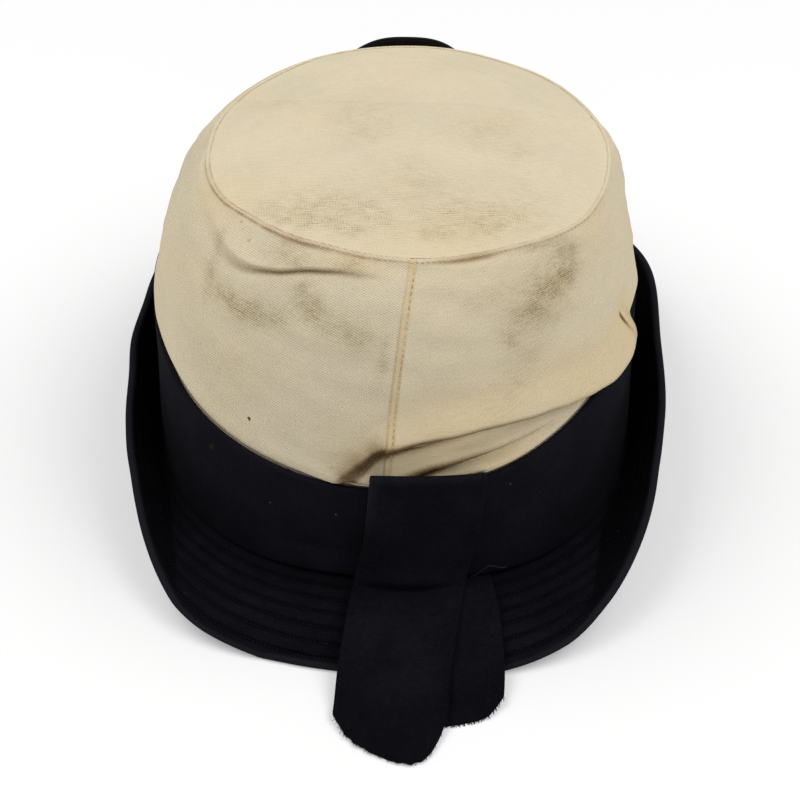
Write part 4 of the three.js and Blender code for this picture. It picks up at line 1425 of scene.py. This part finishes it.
def tail_piece(name, table, cut, count, dent=0.0):
    """A ribbon: its middle, half its thickness to either side, with round sides and a closed end."""
    across, side = rounded(TAIL_WIDTH, TAIL_THICK / 2, 48, steps=4)
    along = np.linspace(0, 1, count)
    middle = tail_middle(table, cut, across[:, None], along[None], dent)
    normal = normals_of(middle, wrap=False)
    half = np.maximum(TAIL_THICK / 2 * side, THINNEST)[:, None, None]
    grid = both_faces(middle, normal, half, shared=False)
    grid[..., 2] = np.maximum(grid[..., 2], 0.0)
    run = np.concatenate([across, across[::-1], across[:1]]) * TAIL_WIDTH
    # The ribbon is mixed towards a darker navy over the last part of its length, towards its cut end.
    end_dark = TAIL_END_DARK["amount"] * ease(along, *TAIL_END_DARK["along"])
    end_dark = np.broadcast_to(end_dark, grid.shape[:2]).ravel()
    gone = np.append(0, np.cumsum(np.linalg.norm(np.diff(middle, axis=1), axis=-1).mean(axis=0)))
    cloth = np.stack(np.meshgrid(gone, run), -1)
    reach = along * read(cut, "reach", across)[:, None]
    fold = FOLD_WEAR["amount"] * bell((reach - FOLD_WEAR["reach"]) / FOLD_WEAR["tall"])
    beside = bell(across / SIDE_WEAR["wide"])[:, None]
    wear_and_highlight = fold + beside * bell((reach - SIDE_WEAR["reach"]) / SIDE_WEAR["tall"])
    wear_and_highlight = np.concatenate([wear_and_highlight, wear_and_highlight[::-1]]) * (dent > 0)
    marks = dict(shade_and_end_dark=end_dark, wear_and_highlight=wear_and_highlight.ravel())
    return closed_skin(name, grid, cloth, wrap=False, marks=marks), gone[-1]


def tail_lines(table, cut, dent=0.0):
    """The rows of stitching along both sides of a ribbon, on its outer face."""
    row = np.array(TAIL_ROWS) / TAIL_WIDTH
    across = np.concatenate([row, 1 - row])[:, None]
    along = np.linspace(0.02, 0.985, 500)[None]
    place = [tail_middle(table, cut, across + d, along, dent) for d in (-0.01, 0.0, 0.01)]
    normal = unit(np.cross(np.gradient(place[1], axis=1), place[2] - place[0]))
    return [*zip(place[1] + normal * (TAIL_THICK / 2 + TAIL_PROUD), normal)]


def frayed_end(name, table, cut, dent, count, seed):
    """Loose threads of the cut end: each starts at the end and points along the ribbon, turned and
    lifted a little at random, but never below the surface."""
    draw = np.random.default_rng(seed)
    across = draw.uniform(0.0, 1.0, count)
    base = tail_middle(table, cut, across, np.full(count, 0.995), dent)
    run = unit(base - tail_middle(table, cut, across, np.full(count, 0.97), dent))
    side = unit(np.cross([0.0, 0.0, 1.0], run))
    run = unit(run + side * draw.normal(0, FRAY["turn"], (count, 1)))
    run = unit(run + np.array([0, 0, 1]) * draw.uniform(*FRAY["lift"], (count, 1)))
    side = unit(np.cross([0.0, 0.0, 1.0], run))
    size = np.stack([draw.uniform(*FRAY["long"], count), *draw.uniform(*FRAY["thick"], (2, count))], -1)
    here = base + run * size[:, :1] * FRAY_FOOT
    here[:, 2] = np.maximum(here[:, 2] + draw.uniform(*FRAY["drift"], count), FRAY_LOWEST)
    return capsules(name, here, np.stack([run, side, np.cross(run, side)], 1), size)


ribbon = navy_cloth("ribbon_cloth", rib_lean=(1.0, 0.0, 0.0), rib_show=0.6, pale=2.0)
ribbon_thread = thread("ribbon_thread", NAVY_PALE, NAVY)
lower_tail, lower_long = tail_piece("ribbon_lower", LOWER_TAIL, LOWER_CUT, count=90)
upper_tail, upper_long = tail_piece("ribbon_upper", UPPER_TAIL, UPPER_CUT, count=190, dent=UPPER_DENT)
lower_lines = tail_lines(LOWER_TAIL, LOWER_CUT)
upper_lines = tail_lines(UPPER_TAIL, UPPER_CUT, UPPER_DENT)
lower_stitch = sewn("ribbon_lower_stitching", lower_lines, **TAIL_STITCH, seed=41)
upper_stitch = sewn("ribbon_upper_stitching", upper_lines, **TAIL_STITCH, seed=42)
lower_fray = frayed_end("ribbon_lower_fray", LOWER_TAIL, LOWER_CUT, 0.0, count=220, seed=43)
upper_fray = frayed_end("ribbon_upper_fray", UPPER_TAIL, UPPER_CUT, UPPER_DENT, count=260, seed=44)
for tail, trims, node, long in (
    (lower_tail, [lower_stitch, lower_fray], "ribbon_tail_lower", lower_long),
    (upper_tail, [upper_stitch, upper_fray], "ribbon_tail_upper", upper_long),
):
    tail.data.materials.append(ribbon)
    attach(tail, "root")
    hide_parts(node)
    for trim in trims:
        trim.data.materials.append(ribbon_thread)
        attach(trim, "root")


# Studio: a plain white surface, a large soft light over each side and even light all round, and a camera
# behind the hat that looks down at it.
FLOOR_REACH = 4.0
FLOOR_WHITE = (0.74, 0.74, 0.74, 1.0)
SKY_LIGHT = 0.28
FLOOR_ROUGH = 0.9
FLOOR_GLOW = 0.3
SIDE_LIGHT = dict(left=16.5, right=17.3)
SIDE_LIGHT_PLACE = np.array([0.95, -0.05, 1.55])
SIDE_LIGHT_SIZE = (1.1, 1.6)
CAMERA_TARGET = np.array([3.35, -42.85, 46.71])
CAMERA_DISTANCE = 681.8
CAMERA_AZIMUTH = np.radians(3.78)
CAMERA_ELEVATION = np.radians(41.76)
CAMERA_ROLL = np.radians(1.40)
CAMERA_LENS = 86.42
CAMERA_SENSOR = 36.0

scene = bpy.context.scene
scene.view_settings.view_transform = "Standard"
floor_mesh = bpy.data.meshes.new("floor")
corner = np.array([(-1, -1, 0), (1, -1, 0), (1, 1, 0), (-1, 1, 0)]) * FLOOR_REACH
floor_mesh.from_pydata(corner.tolist(), [], [(0, 1, 2, 3)])
floor = bpy.data.objects.new("floor", floor_mesh)
scene.collection.objects.link(floor)
floor_material = bpy.data.materials.new("floor_white")
floor_material.use_nodes = True
floor_shader = floor_material.node_tree.nodes["Principled BSDF"]
floor_shader.inputs["Base Color"].default_value = FLOOR_WHITE
floor_shader.inputs["Roughness"].default_value = FLOOR_ROUGH
floor_shader.inputs["Emission Color"].default_value = (1, 1, 1, 1)
floor_shader.inputs["Emission Strength"].default_value = FLOOR_GLOW
floor_mesh.materials.append(floor_material)

world = bpy.data.worlds.new("studio")
world.use_nodes = True
world.node_tree.nodes["Background"].inputs["Color"].default_value = (1, 1, 1, 1)
world.node_tree.nodes["Background"].inputs["Strength"].default_value = SKY_LIGHT
scene.world = world
for side, way in (("left", -1), ("right", 1)):
    lamp = bpy.data.lights.new(side + "_light", "AREA")
    lamp.energy = SIDE_LIGHT[side]
    lamp.shape = "RECTANGLE"
    lamp.size, lamp.size_y = SIDE_LIGHT_SIZE
    lamp_object = bpy.data.objects.new(side + "_light", lamp)
    lamp_object.location = SIDE_LIGHT_PLACE * (way, 1, 1)
    scene.collection.objects.link(lamp_object)

sin_a, cos_a = np.sin(CAMERA_AZIMUTH), np.cos(CAMERA_AZIMUTH)
sin_e, cos_e = np.sin(CAMERA_ELEVATION), np.cos(CAMERA_ELEVATION)
camera_back = np.array([sin_a * cos_e, -cos_a * cos_e, sin_e])
level_right = np.array([cos_a, sin_a, 0.0])
level_up = np.cross(camera_back, level_right)
camera_right = level_right * np.cos(CAMERA_ROLL) + level_up * np.sin(CAMERA_ROLL)
camera_up = level_up * np.cos(CAMERA_ROLL) - level_right * np.sin(CAMERA_ROLL)
camera_place = (CAMERA_TARGET + HEAD_MIDDLE + camera_back * CAMERA_DISTANCE) * MM
camera_data = bpy.data.cameras.new("camera")
camera_data.lens = CAMERA_LENS
camera_data.sensor_width = CAMERA_SENSOR
camera = bpy.data.objects.new("camera", camera_data)
camera_axes = np.eye(4)
camera_axes[:3, :] = np.stack([camera_right, camera_up, camera_back, camera_place], axis=1)
camera.matrix_world = Matrix(camera_axes.tolist())
scene.collection.objects.link(camera)
scene.camera = camera
